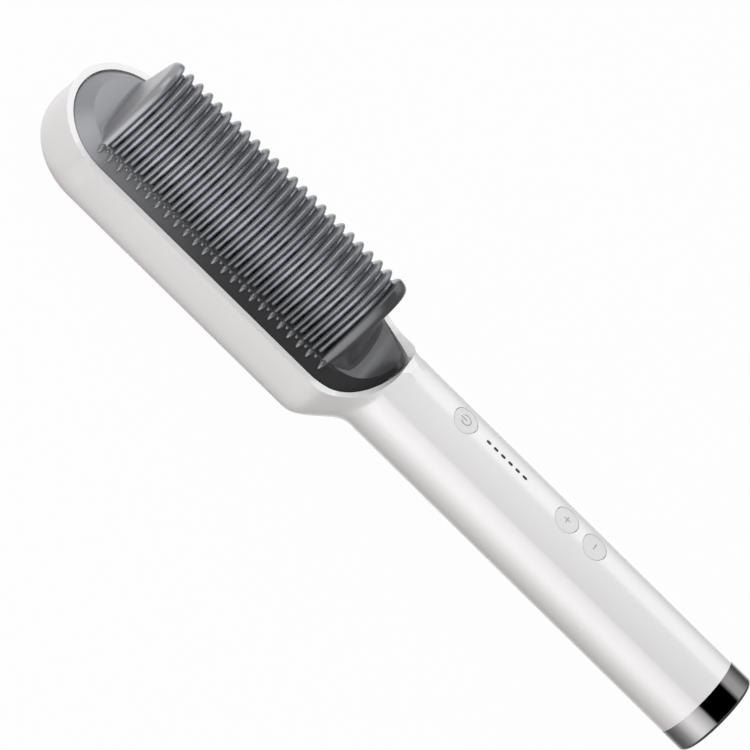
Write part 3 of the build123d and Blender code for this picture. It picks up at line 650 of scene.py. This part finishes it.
@dataclass
class Stations:
    """Places along the brush, worked out from the frame and the head's plan."""

    head_half: float = 22.9 * MM
    wall_lead: float = 4.0 * MM
    wall_trail: float = 1.0 * MM
    rim_height: float = 2.75 * MM
    neck_length: float = 2.9 * MM
    handle_length: float = 131.0 * MM
    rib_pitch: float = 4.0 * MM
    rib_count: int = 22
    neck_lead: float = 0.9 * MM

    def __post_init__(self) -> None:
        """Read the boxes of the nodes that the places depend on."""
        cap_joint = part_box("housing")[1].x
        self.handle_front = cap_joint - self.handle_length
        self.neck_center = self.handle_front - self.neck_length - self.head_half
        self.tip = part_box("housing")[0].x
        self.tip_center = self.tip + self.head_half
        self.first_wall = self.tip_center - self.wall_lead
        self.last_wall = self.neck_center + self.wall_trail
        self.ribs = [self.first_wall + self.rib_pitch * (k + 1) for k in range(self.rib_count)]
        self.fins = [self.first_wall + self.rib_pitch * (k + 0.5) for k in range(self.rib_count)]
        self.fins.append((self.ribs[-1] + self.last_wall - self.neck_lead) / 2)


@dataclass
class Blade:
    """One thin rib or fin across the brush: a full curve over its feet, with a rounded rim."""

    half: float
    crown: float
    foot: float
    crown_depth: float
    side_depth: float
    web: float
    thickness: Callable[[float], float]
    rim_rows: float = 0.62
    web_rows: float = 0.82
    web_inset: float = 0.6

    def top(self, share: float) -> float:
        """Height of the outline where share runs from -1 to 1 across the blade."""
        return self.crown - (self.crown - self.foot) * abs(share) ** ARCH_POWER

    def point(self, across: float, depth: float) -> Vector:
        """Place of a point on the blade's flat side.

        Args:
            across: Share along the arch from foot to foot.
            depth: Share from the blade's rim to its middle.

        Returns:
            The place, with the blade's middle plane at X = 0.
        """
        share = sin((across - 0.5) * pi)
        full = self.thickness(self.top(share))
        rim = min(depth / self.rim_rows, 1.0)
        neck = min(max(depth - self.rim_rows, 0.0) / (self.web_rows - self.rim_rows), 1.0)
        core = max(depth - self.web_rows, 0.0) / (1 - self.web_rows)
        inset = 1 - cos(rim * pi / 2) + self.web_inset * neck
        half = (self.half - self.side_depth * inset) * (1 - core)
        deep = self.side_depth + (self.crown_depth - self.side_depth) * (1 - share**2) ** 2
        crown = self.crown - deep * inset
        crown += (self.foot - crown) * core
        ease = 0.5 - 0.5 * cos(neck * pi)
        thickness = full * sin(rim * pi / 2) * (1 - ease) + min(self.web, full) * ease
        height = crown - (crown - self.foot) * abs(share) ** ARCH_POWER
        return Vector((thickness / 2, half * share, height))

    def build(self, bm: BMesh, across: int, depth: int) -> None:
        """Model the blade in an empty bmesh.

        Args:
            bm: The bmesh.
            across: Number of faces from foot to foot.
            depth: Number of faces from the rim to the middle.
        """
        draped_grid(bm, across, depth, self.point)
        bmesh.ops.mirror(bm, geom=everything(bm), axis="X", merge_dist=MERGE_DISTANCE)
        tidy_mesh(bm)


@dataclass(frozen=True)
class WallForm:
    """How an end wall stands towards the ribs, and how its outer side sweeps to the platform."""

    lead: float
    flare: float
    fillet: float
    sweep: float


@dataclass
class Comb:
    """The grey comb cover: platform with its sloped edge, guard ribs and end walls."""

    at: Stations
    cover_half: float = 20.15 * MM
    edge_drop: float = 0.15 * MM
    edge_round: float = 0.35 * MM
    platform_height: float = 4.3 * MM
    crease: float = 0.22 * MM
    crease_sharpness: float = 12.0
    side_rows: float = 0.3
    skirt_rows: float = 0.1
    round_rows: float = 0.2
    slope_rows: float = 0.6
    skirt_depth: float = 3.0 * MM
    rib_crown: float = 32.0 * MM
    rib_foot: float = 2.2 * MM
    rib_half: float = 17.3 * MM
    rib_thickness: float = 2.7 * MM
    rib_foot_thickness: float = 1.55 * MM
    rib_swell: float = 6.0
    rib_point: float = 3.2 * MM
    rib_side: float = 0.9 * MM
    web: float = 1.5 * MM
    toe_half: float = 17.6 * MM
    toe_length: float = 3.4 * MM
    toe_radius: float = 1.15 * MM
    toe_taper: float = 0.5
    toe_lift: float = 0.7
    toe_turn: float = radians(135)
    stud_radius: float = 0.7 * MM
    stud_half: float = 16.6 * MM
    neck_wall: WallForm = WallForm(2.2 * MM, 5.0 * MM, 4.4 * MM, 19.0 * MM)
    tip_wall: WallForm = WallForm(1.0 * MM, 3.6 * MM, 1.0 * MM, 3.0 * MM)
    wall_shift: float = 1.0 * MM
    wall_inner_round: float = 1.0 * MM
    wall_inner_drop: float = 1.4 * MM
    wall_ridge: float = 1.8 * MM
    wall_cap: float = 1.6
    wall_sink: float = 0.05 * MM
    wall_ease: float = 4.5 * MM
    wall_sweep_limit: float = 0.85
    wall_inner_rows: float = 0.15
    wall_cap_rows: float = 0.45
    sweep_run: float = 13.3 * MM
    sweep_rise: float = 11.6 * MM
    opening_half: float = 20.6 * MM
    valley_rise: float = 9.5 * MM
    valley_reach: float = 2.5 * MM
    rib_faces: tuple[int, int] = (44, 16)
    wall_faces: tuple[int, int] = (48, 60)
    ring_faces: int = 200
    slope_faces: int = 36
    platform_faces: int = 24

    def __post_init__(self) -> None:
        """Work out the levels from the rim."""
        self.rim = self.at.rim_height
        self.foot = self.rim + self.rib_foot
        self.crown = self.rim + self.rib_crown
        self.platform = self.rim + self.platform_height

    def rib_thickness_at(self, height: float) -> float:
        """Thickness of a rib's rim, slim at the feet and full at the crown.

        Args:
            height: Height of the rim above the frame's origin.

        Returns:
            The thickness.
        """
        rise = max((height - self.foot) / (self.crown - self.foot), 0.0)
        widening = self.rib_thickness - self.rib_foot_thickness
        return self.rib_foot_thickness + widening * rise**self.rib_swell

    def build_ribs(self) -> Object:
        """Model the thin guard ribs.

        Returns:
            The piece with all thin ribs.
        """
        depths = self.rib_point, self.rib_side
        rib = Blade(self.rib_half, self.crown, self.foot, *depths, self.web, self.rib_thickness_at)
        bm = bmesh.new()
        rib.build(bm, *self.rib_faces)
        repeat_along_x(bm, self.at.ribs)
        return new_piece(bm, "guard_ribs", COMB, Body.BRUSH)

    def wall_point(self, form: WallForm, across: float, along: float) -> Vector:
        """Place of a point on an end wall, from its inner foot over the ridge to its outer foot.

        Args:
            form: The wall's form.
            across: Share along the arch from foot to foot.
            along: Share from the inner foot over the ridge to the outer foot.

        Returns:
            The place, with the sweep towards +X.
        """
        share = sin((across - 0.5) * pi)
        bow = sqrt(max(1 - share**2, 0.0))
        y = self.rib_half * share
        foot_half = self.rib_foot_thickness / 2
        height = (self.crown - self.foot) * (1 - abs(share) ** ARCH_POWER)
        top = self.foot + height
        ridge = foot_half + (self.wall_ridge - foot_half) * bow
        cap = min(self.wall_cap * ridge, height)
        edge = min(self.wall_inner_drop, height)
        inner = -form.lead * bow - foot_half * (1 - bow)
        outer = 2 * ridge - self.wall_shift
        if along < self.wall_inner_rows:
            return Vector((inner, y, self.foot + (height - edge) * along / self.wall_inner_rows))
        if along < self.wall_cap_rows:
            gone = (along - self.wall_inner_rows) / (self.wall_cap_rows - self.wall_inner_rows)
            middle = inner + self.wall_inner_round
            rising = gone < 0.5
            reach = self.wall_inner_round if rising else outer - middle
            drop = edge if rising else cap
            return Vector((middle - reach * cos(gone * pi), y, top - drop * (1 - sin(gone * pi))))
        down = (along - self.wall_cap_rows) / (1 - self.wall_cap_rows)
        tall = max(height - cap - (self.platform - self.wall_sink - self.foot), 0.0)
        rest = tall * (1 - down)
        run = (form.flare - outer) * bow * down
        sweep = min(form.sweep, self.wall_sweep_limit * tall)
        if rest < sweep:
            run += form.fillet * sqrt(bow) * (1 - sqrt(max(1 - (1 - rest / sweep) ** 2, 0.0)))
        room = self.cover_half - self.platform_height - abs(y)
        ease = min(max(room / self.wall_ease, 0.0), 1.0)
        return Vector((outer + run * ease * (2 - ease), y, top - cap - tall * down))

    def build_walls(self) -> Object:
        """Model the two closed end walls.

        Returns:
            The piece with both walls.
        """
        bm = bmesh.new()
        neck = draped_grid(bm, *self.wall_faces, lambda a, b: self.wall_point(self.neck_wall, a, b))
        tip = draped_grid(bm, *self.wall_faces, lambda a, b: self.wall_point(self.tip_wall, a, b))
        bmesh.ops.translate(bm, verts=neck, vec=(self.at.last_wall, 0, 0))
        bmesh.ops.rotate(bm, verts=tip, cent=(0, 0, 0), matrix=Matrix.Rotation(pi, 3, "Z"))
        bmesh.ops.translate(bm, verts=tip, vec=(self.at.first_wall, 0, 0))
        tidy_mesh(bm)
        return new_piece(bm, "end_walls", PLATFORM, Body.BRUSH)

    def climb(self, x: float, start: float, end: float, rise: float) -> float:
        """Rise of an arc that leaves a level at one station and climbs to another.

        Args:
            x: Where the rise is wanted.
            start: Where the arc leaves the level.
            end: Where the arc ends.
            rise: The arc's full rise.

        Returns:
            The rise at X.
        """
        run = end - start
        radius = (run**2 + rise**2) / (2 * rise)
        gone = min(max(x - start, 0.0), run)
        return radius - sqrt(max(radius**2 - gone**2, 0.0))

    def outline(self, around: float) -> Triple:
        """Follow the cover's outline.

        Args:
            around: Share of the way round the outline, from the near side of the neck.

        Returns:
            The centre that the outline runs round at this share, as a place along X, and the
            direction from there to the outline, along Y and along X.
        """
        at = self.at
        straight = at.tip_center - at.neck_center
        if around < self.side_rows:
            return at.neck_center + straight * around / self.side_rows, -1.0, 0.0
        if around < 0.5:
            turn = (around - self.side_rows) / (0.5 - self.side_rows) * pi
            return at.tip_center, -cos(turn), -sin(turn)
        if around < 0.5 + self.side_rows:
            return at.tip_center - straight * (around - 0.5) / self.side_rows, 1.0, 0.0
        turn = (around - 0.5 - self.side_rows) / (0.5 - self.side_rows) * pi
        return at.neck_center, cos(turn), sin(turn)

    def platform_point(self, around: float, inward: float) -> Vector:
        """Place of a point on the platform and its sloped edge.

        Args:
            around: Share of the way round the cover's outline, from the near side of the neck.
            inward: Share from the skirt's lower edge to the middle line.

        Returns:
            The place.
        """
        center, side, front = self.outline(around)
        reach = max(front, 0.0) * self.valley_reach
        opening_tip = self.at.neck_center + self.opening_half
        rim_x = center + self.cover_half * front
        edge = self.rim - self.edge_drop
        edge += self.climb(rim_x, opening_tip - self.sweep_run, opening_tip, self.sweep_rise)
        slope_half = self.cover_half - self.platform_height
        if inward < self.skirt_rows:
            down = self.skirt_depth * (1 - inward / self.skirt_rows)
            return Vector((rim_x, self.cover_half * side, edge - self.edge_round - down))
        if inward < self.round_rows:
            turn = (inward - self.skirt_rows) / (self.round_rows - self.skirt_rows) * pi / 4
            half = self.cover_half - self.edge_round * (1 - cos(turn))
            height = edge + self.edge_round * (sin(turn) - 1)
            return Vector((center + half * front, half * side, height))
        if inward < self.slope_rows:
            share = (inward - self.round_rows) / (self.slope_rows - self.round_rows)
            cut = self.edge_round * (1 - sqrt(0.5))
            start_half, start = self.cover_half - cut, edge - cut
            half = start_half + (slope_half - start_half) * share
            lip = self.crease * max(1 - (1 - share) * self.crease_sharpness, 0.0)
            inner = self.level(center + slope_half * front + reach)
            height = start + (inner - start) * share + lip
            return Vector((center + half * front + reach * share, half * side, height))
        share = (inward - self.slope_rows) / (1 - self.slope_rows)
        half = slope_half * (1 - share)
        x = center + half * front + reach * (1 - share)
        return Vector((x, half * side, self.level(x)))

    def level(self, x: float) -> float:
        """Height of the platform, which climbs beside the neck.

        Args:
            x: The place along the brush.

        Returns:
            The height.
        """
        slope_half = self.cover_half - self.platform_height
        start = self.at.last_wall + self.neck_wall.flare + self.neck_wall.fillet
        end = self.at.neck_center + slope_half + self.valley_reach
        return self.platform + self.climb(x, start, end, self.valley_rise - self.platform_height)

    def slope_level(self, half: float) -> float:
        """Height of the sloped edge beside the ribs.

        Args:
            half: Distance from the middle plane.

        Returns:
            The height.
        """
        edge = self.rim - self.edge_drop
        share = (self.cover_half - half) / self.platform_height
        return edge + (self.platform - edge) * share

    def build_platform(
        self, name: str, finish: Finish, rows: int, start: float, end: float
    ) -> Object:
        """Model a ring of the platform: its sloped edge, or its top with the valley.

        Args:
            name: The piece's name.
            finish: The piece's finish.
            rows: Number of faces from the outline inward.
            start: Share from the skirt's lower edge where the ring starts.
            end: Share where the ring ends.

        Returns:
            The piece.
        """
        bm = bmesh.new()
        span = end - start
        draped_grid(
            bm, self.ring_faces, rows, lambda a, b: self.platform_point(a, start + span * b)
        )
        tidy_mesh(bm)
        if sum(face.normal.z for face in bm.faces) < 0:
            bmesh.ops.reverse_faces(bm, faces=bm.faces)
        return new_piece(bm, name, finish, Body.BRUSH)

    def build_toes(self) -> Object:
        """Model the pointed toes of the ribs and the studs between them.

        Returns:
            The piece with all toes and studs.
        """
        bm = bmesh.new()
        made = bmesh.ops.create_uvsphere(bm, **BALL, radius=1.0)["verts"]
        for vert in made:
            slim = self.toe_radius * (1 - self.toe_taper * (vert.co.z + 1) / 2)
            vert.co.x *= slim
            vert.co.y *= slim
            vert.co.z *= self.toe_length / 2
        level = self.slope_level(self.toe_half) + self.toe_radius * self.toe_lift
        place = Matrix.Translation((0, -self.toe_half, level))
        turn = Matrix.Rotation(self.toe_turn, 4, "X")
        bmesh.ops.transform(bm, matrix=place @ turn, verts=made)
        repeat_along_x(bm, [self.at.first_wall, *self.at.ribs, self.at.last_wall])
        stud_level = self.slope_level(self.stud_half)
        for x in self.at.fins:
            place = Matrix.Translation((x, -self.stud_half, stud_level))
            bmesh.ops.create_uvsphere(bm, **BALL, radius=self.stud_radius, matrix=place)
        bmesh.ops.mirror(bm, geom=everything(bm), axis="Y", merge_dist=0)
        tidy_mesh(bm)
        return new_piece(bm, "rib_toes", TOE, Body.BRUSH)

    def build(self) -> None:
        """Model the comb cover's pieces and let them stand for the plain node."""
        pieces = (
            self.build_ribs(),
            self.build_walls(),
            self.build_platform("comb_slope", SLOPE, self.slope_faces, 0.0, self.slope_rows),
            self.build_platform(
                "comb_platform", PLATFORM, self.platform_faces, self.slope_rows, 1.0
            ),
            self.build_toes(),
        )
        for piece in pieces:
            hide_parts("comb_cover")


@dataclass
class Fins:
    """The coated heating fins between the ribs, on their base plate."""

    at: Stations
    rib_thickness_at: Callable[[float], float]
    half: float = 15.5 * MM
    crown: float = 29.3 * MM
    base: float = 2.7 * MM
    base_half: float = 14.5 * MM
    base_margin: float = 1.2 * MM
    base_thickness: float = 2.0 * MM
    base_bevel: float = 0.2 * MM
    waist: float = 1.7 * MM
    swell: float = 1.1 * MM
    side_gap: float = 0.05 * MM
    waist_level: float = 20.0 * MM
    lobe: float = 12.0 * MM
    rim_depth: float = 1.0 * MM
    web: float = 2.2 * MM
    faces: tuple[int, int] = (48, 14)

    def thickness_at(self, height: float) -> float:
        """Thickness of a fin's rim, which swells and narrows in lobes up its side.

        Args:
            height: Height of the rim above the frame's origin.

        Returns:
            The thickness, which leaves room for the ribs.
        """
        wave = sin(pi * (height - self.at.rim_height - self.waist_level) / self.lobe)
        room = 2 * (self.at.rib_pitch / 2 - self.side_gap) - self.rib_thickness_at(height)
        return min(self.waist + self.swell * abs(wave), room)

    def build(self) -> None:
        """Model all fins and their base as one piece that stands for the plain node."""
        rim = self.at.rim_height
        crown, foot, depth = rim + self.crown, rim + self.base, self.rim_depth
        fin = Blade(self.half, crown, foot, depth, depth, self.web, self.thickness_at)
        bm = bmesh.new()
        fin.build(bm, *self.faces)
        repeat_along_x(bm, self.at.fins)
        length = self.at.last_wall - self.at.first_wall - 2 * self.base_margin
        middle = (self.at.last_wall + self.at.first_wall) / 2
        level = rim + self.base - self.base_thickness / 2
        scale = Matrix.Diagonal((length, 2 * self.base_half, self.base_thickness, 1))
        plate = bmesh.ops.create_cube(
            bm, size=1.0, matrix=Matrix.Translation((middle, 0, level)) @ scale
        )["verts"]
        bmesh.ops.bevel(
            bm,
            geom=edges_at(plate),
            offset=self.base_bevel,
            affect="EDGES",
            segments=2,
            profile=0.5,
            material=-1,
        )
        piece = new_piece(bm, "heated_fins", FIN, Body.BRUSH)
        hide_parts("heating_fins")


@dataclass
class ButtonSigns:
    """The signs on the buttons: thin marks that lie on the round face of the handle."""

    at: Stations
    handle_radius: float = 15.1 * MM
    stroke: float = 0.42 * MM
    relief: float = 0.05 * MM
    sink: float = 0.03 * MM
    ring_radius: float = 1.75 * MM
    ring_gap: float = radians(80)
    bar_length: float = 2.5 * MM
    bar_reach: float = 0.35 * MM
    plus_length: float = 2.5 * MM

    def bar(self, bm: BMesh, x: float, length: float, along: bool) -> None:
        """Add a bar, divided so that it can follow the round handle.

        Args:
            bm: The bmesh that gets the bar.
            x: The middle of the bar along the brush.
            length: The bar's length.
            along: Whether the bar runs along the brush, not across it.
        """
        size = (length, self.stroke) if along else (self.stroke, length)
        scale = Matrix.Diagonal((*size, self.relief, 1))
        place = Matrix.Translation((x, 0, 0)) @ scale
        verts = bmesh.ops.create_cube(bm, size=1.0, matrix=place)["verts"]
        bmesh.ops.subdivide_edges(bm, edges=edges_at(verts), cuts=4, use_grid_fill=True)

    def arc(self, bm: BMesh) -> None:
        """Add the open ring of the power sign to an empty bmesh, with its gap towards the head.

        Args:
            bm: The bmesh.
        """
        scale = Matrix.Diagonal((self.stroke, self.relief, 1, 1))
        upright = Matrix.Rotation(radians(90), 4, "X")
        start = Matrix.Rotation(pi + self.ring_gap / 2, 4, "Z")
        place = start @ Matrix.Translation((self.ring_radius, 0, 0)) @ upright @ scale
        bmesh.ops.create_grid(bm, x_segments=1, y_segments=1, size=0.5, matrix=place)
        bmesh.ops.spin(
            bm,
            geom=everything(bm),
            cent=(0, 0, 0),
            axis=(0, 0, 1),
            angle=2 * pi - self.ring_gap,
            steps=40,
            use_duplicate=False,
        )

    def build_sign(self, sign: Sign, body: Body) -> None:
        """Model one sign and lay it on its button.

        Args:
            sign: Which sign.
            body: The body of the button.
        """
        bm = bmesh.new()
        if sign is Sign.POWER:
            self.arc(bm)
            self.bar(bm, self.bar_reach - self.bar_length / 2, self.bar_length, True)
        else:
            self.bar(bm, 0.0, self.plus_length, False)
        if sign is Sign.PLUS:
            self.bar(bm, 0.0, self.plus_length, True)
        low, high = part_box(f"{sign.value}_button")
        middle = (low.x + high.x) / 2
        for vert in bm.verts:
            drop = self.handle_radius - sqrt(self.handle_radius**2 - vert.co.y**2)
            vert.co.z += self.handle_radius - drop + self.relief / 2 - self.sink
            vert.co.x += middle
        tidy_mesh(bm, smooth=False)
        piece = new_piece(bm, f"{sign.value}_sign", SIGN, body)

    def build(self) -> None:
        """Model the three signs."""
        for sign, body in zip(Sign, (Body.POWER, Body.PLUS, Body.MINUS)):
            self.build_sign(sign, body)


@dataclass(frozen=True)
class Lamp:
    """A soft panel that faces the brush.

    The bearing turns from the near side towards the head's tip, and the elevation is above the
    floor, both in degrees. A panel shows in reflections or not.
    """

    name: str
    bearing: float
    elevation: float
    distance: float
    length: float
    width: float
    radiance: float
    mirrored: bool = False


LAMPS = (
    Lamp("fill_panel", 0.0, 35.0, 1.4, 2.4, 1.4, 0.12),
    Lamp("rear_panel", 180.0, 60.0, 1.4, 2.2, 1.0, 0.3),
    Lamp("tip_panel", 76.0, 34.0, 0.4, 0.2, 0.2, 1.4, mirrored=True),
    Lamp("tip_front_panel", 38.0, 38.0, 0.45, 0.3, 0.12, 1.4, mirrored=True),
    Lamp("tip_back_panel", 154.0, 45.0, 0.42, 0.16, 0.3, 0.8, mirrored=True),
)

# Brightness that reflections find round the brush, by the angle from straight up to the near side
SOFTBOXES = (
    (-179.0, 0.35),
    (-162.0, 0.8),
    (-140.0, 1.15),
    (-110.0, 1.3),
    (-97.0, 0.3),
    (-84.0, 0.24),
    (-70.0, 0.67),
    (-58.0, 1.08),
    (-48.0, 1.5),
    (-27.0, 1.5),
    (-21.0, 0.67),
    (-15.0, 0.0),
    (55.0, 0.0),
    (61.0, 1.6),
    (73.0, 2.5),
    (85.0, 3.2),
    (95.0, 3.6),
    (103.0, 3.6),
    (119.0, 2.5),
    (137.0, 1.18),
    (148.0, 0.82),
    (160.0, 0.52),
    (174.0, 0.35),
    (179.0, 0.35),
)


@dataclass
class Studio:
    """Floor, lamps, world and camera."""

    tilt: float = radians(45.0)
    swing: float = radians(8.3)
    roll: float = radians(44.55)
    aim: Triple = (-148.9 * MM, -0.66 * MM, 2.09 * MM)
    distance: float = 3.0
    lens: float = 476.0
    world_level: float = 0.78
    tunnel_radius: float = 1.2
    tunnel_length: float = 3.2
    lit_half: float = 0.45
    lit_fade: float = 0.4
    tip_level: float = 1.1
    far_share: float = 0.07
    floor_gap: float = 0.3 * MM
    floor_half: float = 3.0
    floor_colour: Colour = (0.5, 0.45, 0.455, 1.0)
    floor_glow: float = 0.975

    def build_camera(self) -> None:
        """Set the camera at the photograph's viewing angle."""
        low = cos(self.swing)
        toward = Vector((-sin(self.swing), -sin(self.tilt) * low, cos(self.tilt) * low))
        side = sin(self.swing)
        along = Vector((low, -side * sin(self.tilt), side * cos(self.tilt)))
        across = toward.cross(along)
        right = along * cos(self.roll) + across * sin(self.roll)
        up = across * cos(self.roll) - along * sin(self.roll)
        data = bpy.data.cameras.new("camera")
        data.lens = self.lens
        data.sensor_width = 36.0
        data.clip_start = 0.1
        camera = add_object("camera", data)
        turn = Matrix((right, up, toward)).transposed().to_4x4()
        camera.matrix_world = Matrix.Translation(Vector(self.aim) + toward * self.distance) @ turn
        bpy.context.scene.camera = camera

    def build_lamp(self, lamp: Lamp) -> None:
        """Add a soft panel that faces the brush.

        Args:
            lamp: The panel's place, size and level.
        """
        bearing, elevation = radians(lamp.bearing), radians(lamp.elevation)
        low = cos(elevation)
        back = Vector((-sin(bearing) * low, -cos(bearing) * low, sin(elevation)))
        data = bpy.data.lights.new(lamp.name, "AREA")
        data.shape = "RECTANGLE"
        data.size, data.size_y = lamp.length, lamp.width
        data.energy = lamp.radiance * pi * lamp.length * lamp.width
        panel = add_object(lamp.name, data)
        panel.visible_glossy = lamp.mirrored
        panel.visible_camera = False
        side = Vector((0, 0, 1)).cross(back).normalized()
        facing = Matrix((side, back.cross(side), back)).transposed().to_4x4()
        place = Vector(self.aim) + back * lamp.distance
        panel.matrix_world = Matrix.Translation(place) @ facing

    def softbox_material(self) -> Material:
        """Build the glow of the softboxes, which changes round the brush and fades at the ends.

        Returns:
            The material.
        """
        made, nodes = bare_material("softboxes")
        made.cycles.emission_sampling = "NONE"
        place = nodes.add("ShaderNodeTexCoord").outputs["Object"]
        apart = nodes.add("ShaderNodeSeparateXYZ", {0: place}).outputs
        near = nodes.math("MULTIPLY", apart["Y"], -1.0)
        around = nodes.math("ARCTAN2", near, apart["Z"])
        ramp = nodes.add("ShaderNodeValToRGB", {"Fac": nodes.remap(around, (-pi, pi))})
        brightest = max(level for _, level in SOFTBOXES)
        stops = ramp.color_ramp.elements
        for angle, level in SOFTBOXES:
            stops.new(0.5 + angle / 360).color = grey(level / brightest)
        stops.remove(stops[0])
        stops.remove(stops[-1])
        dark = self.lit_half + self.lit_fade
        far = nodes.remap(nodes.math("ABSOLUTE", apart["X"]), (self.lit_half, dark), eased=True)
        past_tip = nodes.remap(apart["X"], (-self.lit_half, -dark), eased=True)
        sides = nodes.blend(far, ramp.outputs["Color"], grey(self.far_share))
        whole = nodes.blend(past_tip, sides, grey(self.tip_level / brightest))
        glow = nodes.out("ShaderNodeEmission", 0, {"Color": whole, "Strength": brightest})
        nodes.feed(nodes.tree.nodes["Material Output"], {"Surface": glow})
        return made

    def build_softboxes(self) -> None:
        """Set up the long softboxes round the brush, which only reflections see."""
        bm = bmesh.new()
        bmesh.ops.create_cone(
            bm,
            cap_ends=True,
            segments=64,
            radius1=self.tunnel_radius,
            radius2=self.tunnel_radius,
            depth=self.tunnel_length,
            matrix=Matrix.Rotation(pi / 2, 4, "Y"),
        )
        tunnel = mesh_object(bm, "softboxes", self.softbox_material())
        for ray in ("camera", "diffuse", "shadow", "transmission", "volume_scatter"):
            setattr(tunnel, f"visible_{ray}", False)

    def floor_material(self) -> Material:
        """Build the floor's material, pale to the camera and matt to all other rays.

        Returns:
            The material.
        """
        made, nodes = bare_material("floor")
        seen = nodes.add("ShaderNodeLightPath").outputs["Is Camera Ray"]
        share = nodes.math("MULTIPLY", seen, self.floor_glow)
        matt = nodes.out("ShaderNodeBsdfDiffuse", 0, {"Color": self.floor_colour})
        glow = nodes.add("ShaderNodeEmission").outputs[0]
        mixed = nodes.out("ShaderNodeMixShader", 0, {0: share, 1: matt, 2: glow})
        nodes.feed(nodes.tree.nodes["Material Output"], {"Surface": mixed})
        return made

    def build_floor(self) -> None:
        """Lay a pale floor that shows white and keeps the brush's shadow."""
        bm = bmesh.new()
        bmesh.ops.create_grid(bm, x_segments=4, y_segments=4, size=self.floor_half)
        level = min(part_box("housing")[0].z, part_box("end_cap")[0].z)
        bmesh.ops.translate(bm, verts=bm.verts, vec=(self.aim[0], 0, level - self.floor_gap))
        floor = mesh_object(bm, "floor", self.floor_material())
        floor.visible_glossy = False

    def build_world(self) -> None:
        """Give the world a soft level, and white where the camera or a reflection sees it."""
        world = bpy.data.worlds.new("studio")
        bpy.context.scene.world = world
        world.use_nodes = True
        nodes = Nodes(world.node_tree)
        path = nodes.add("ShaderNodeLightPath").outputs
        white = path["Is Camera Ray"]
        for ray in ("Is Glossy Ray", "Is Transmission Ray"):
            white = nodes.math("MAXIMUM", white, path[ray])
        strength = nodes.remap(white, target=(self.world_level, 1.0))
        sky = {"Color": grey(1.0), "Strength": strength}
        nodes.feed(nodes.tree.nodes["Background"], sky)

    def build(self) -> None:
        """Set up the whole studio."""
        bpy.context.scene.view_settings.view_transform = "Standard"
        self.build_floor()
        self.build_world()
        self.build_softboxes()
        for lamp in LAMPS:
            self.build_lamp(lamp)
        self.build_camera()


def dress_nodes() -> None:
    """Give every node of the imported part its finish."""
    for name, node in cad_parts.items():
        material = NODE_FINISHES[name].material()
        if not node.data.materials:
            node.data.materials.append(material)
        for slot in node.material_slots:
            slot.material = material


def main() -> None:
    """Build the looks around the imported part."""
    logging.basicConfig(level=logging.INFO, format="%(name)s: %(message)s")
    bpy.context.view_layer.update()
    dress_nodes()
    stations = Stations()
    comb = Comb(stations)
    comb.build()
    Fins(stations, comb.rib_thickness_at).build()
    ButtonSigns(stations).build()
    Studio().build()


if __name__ == "__main__":
    main()
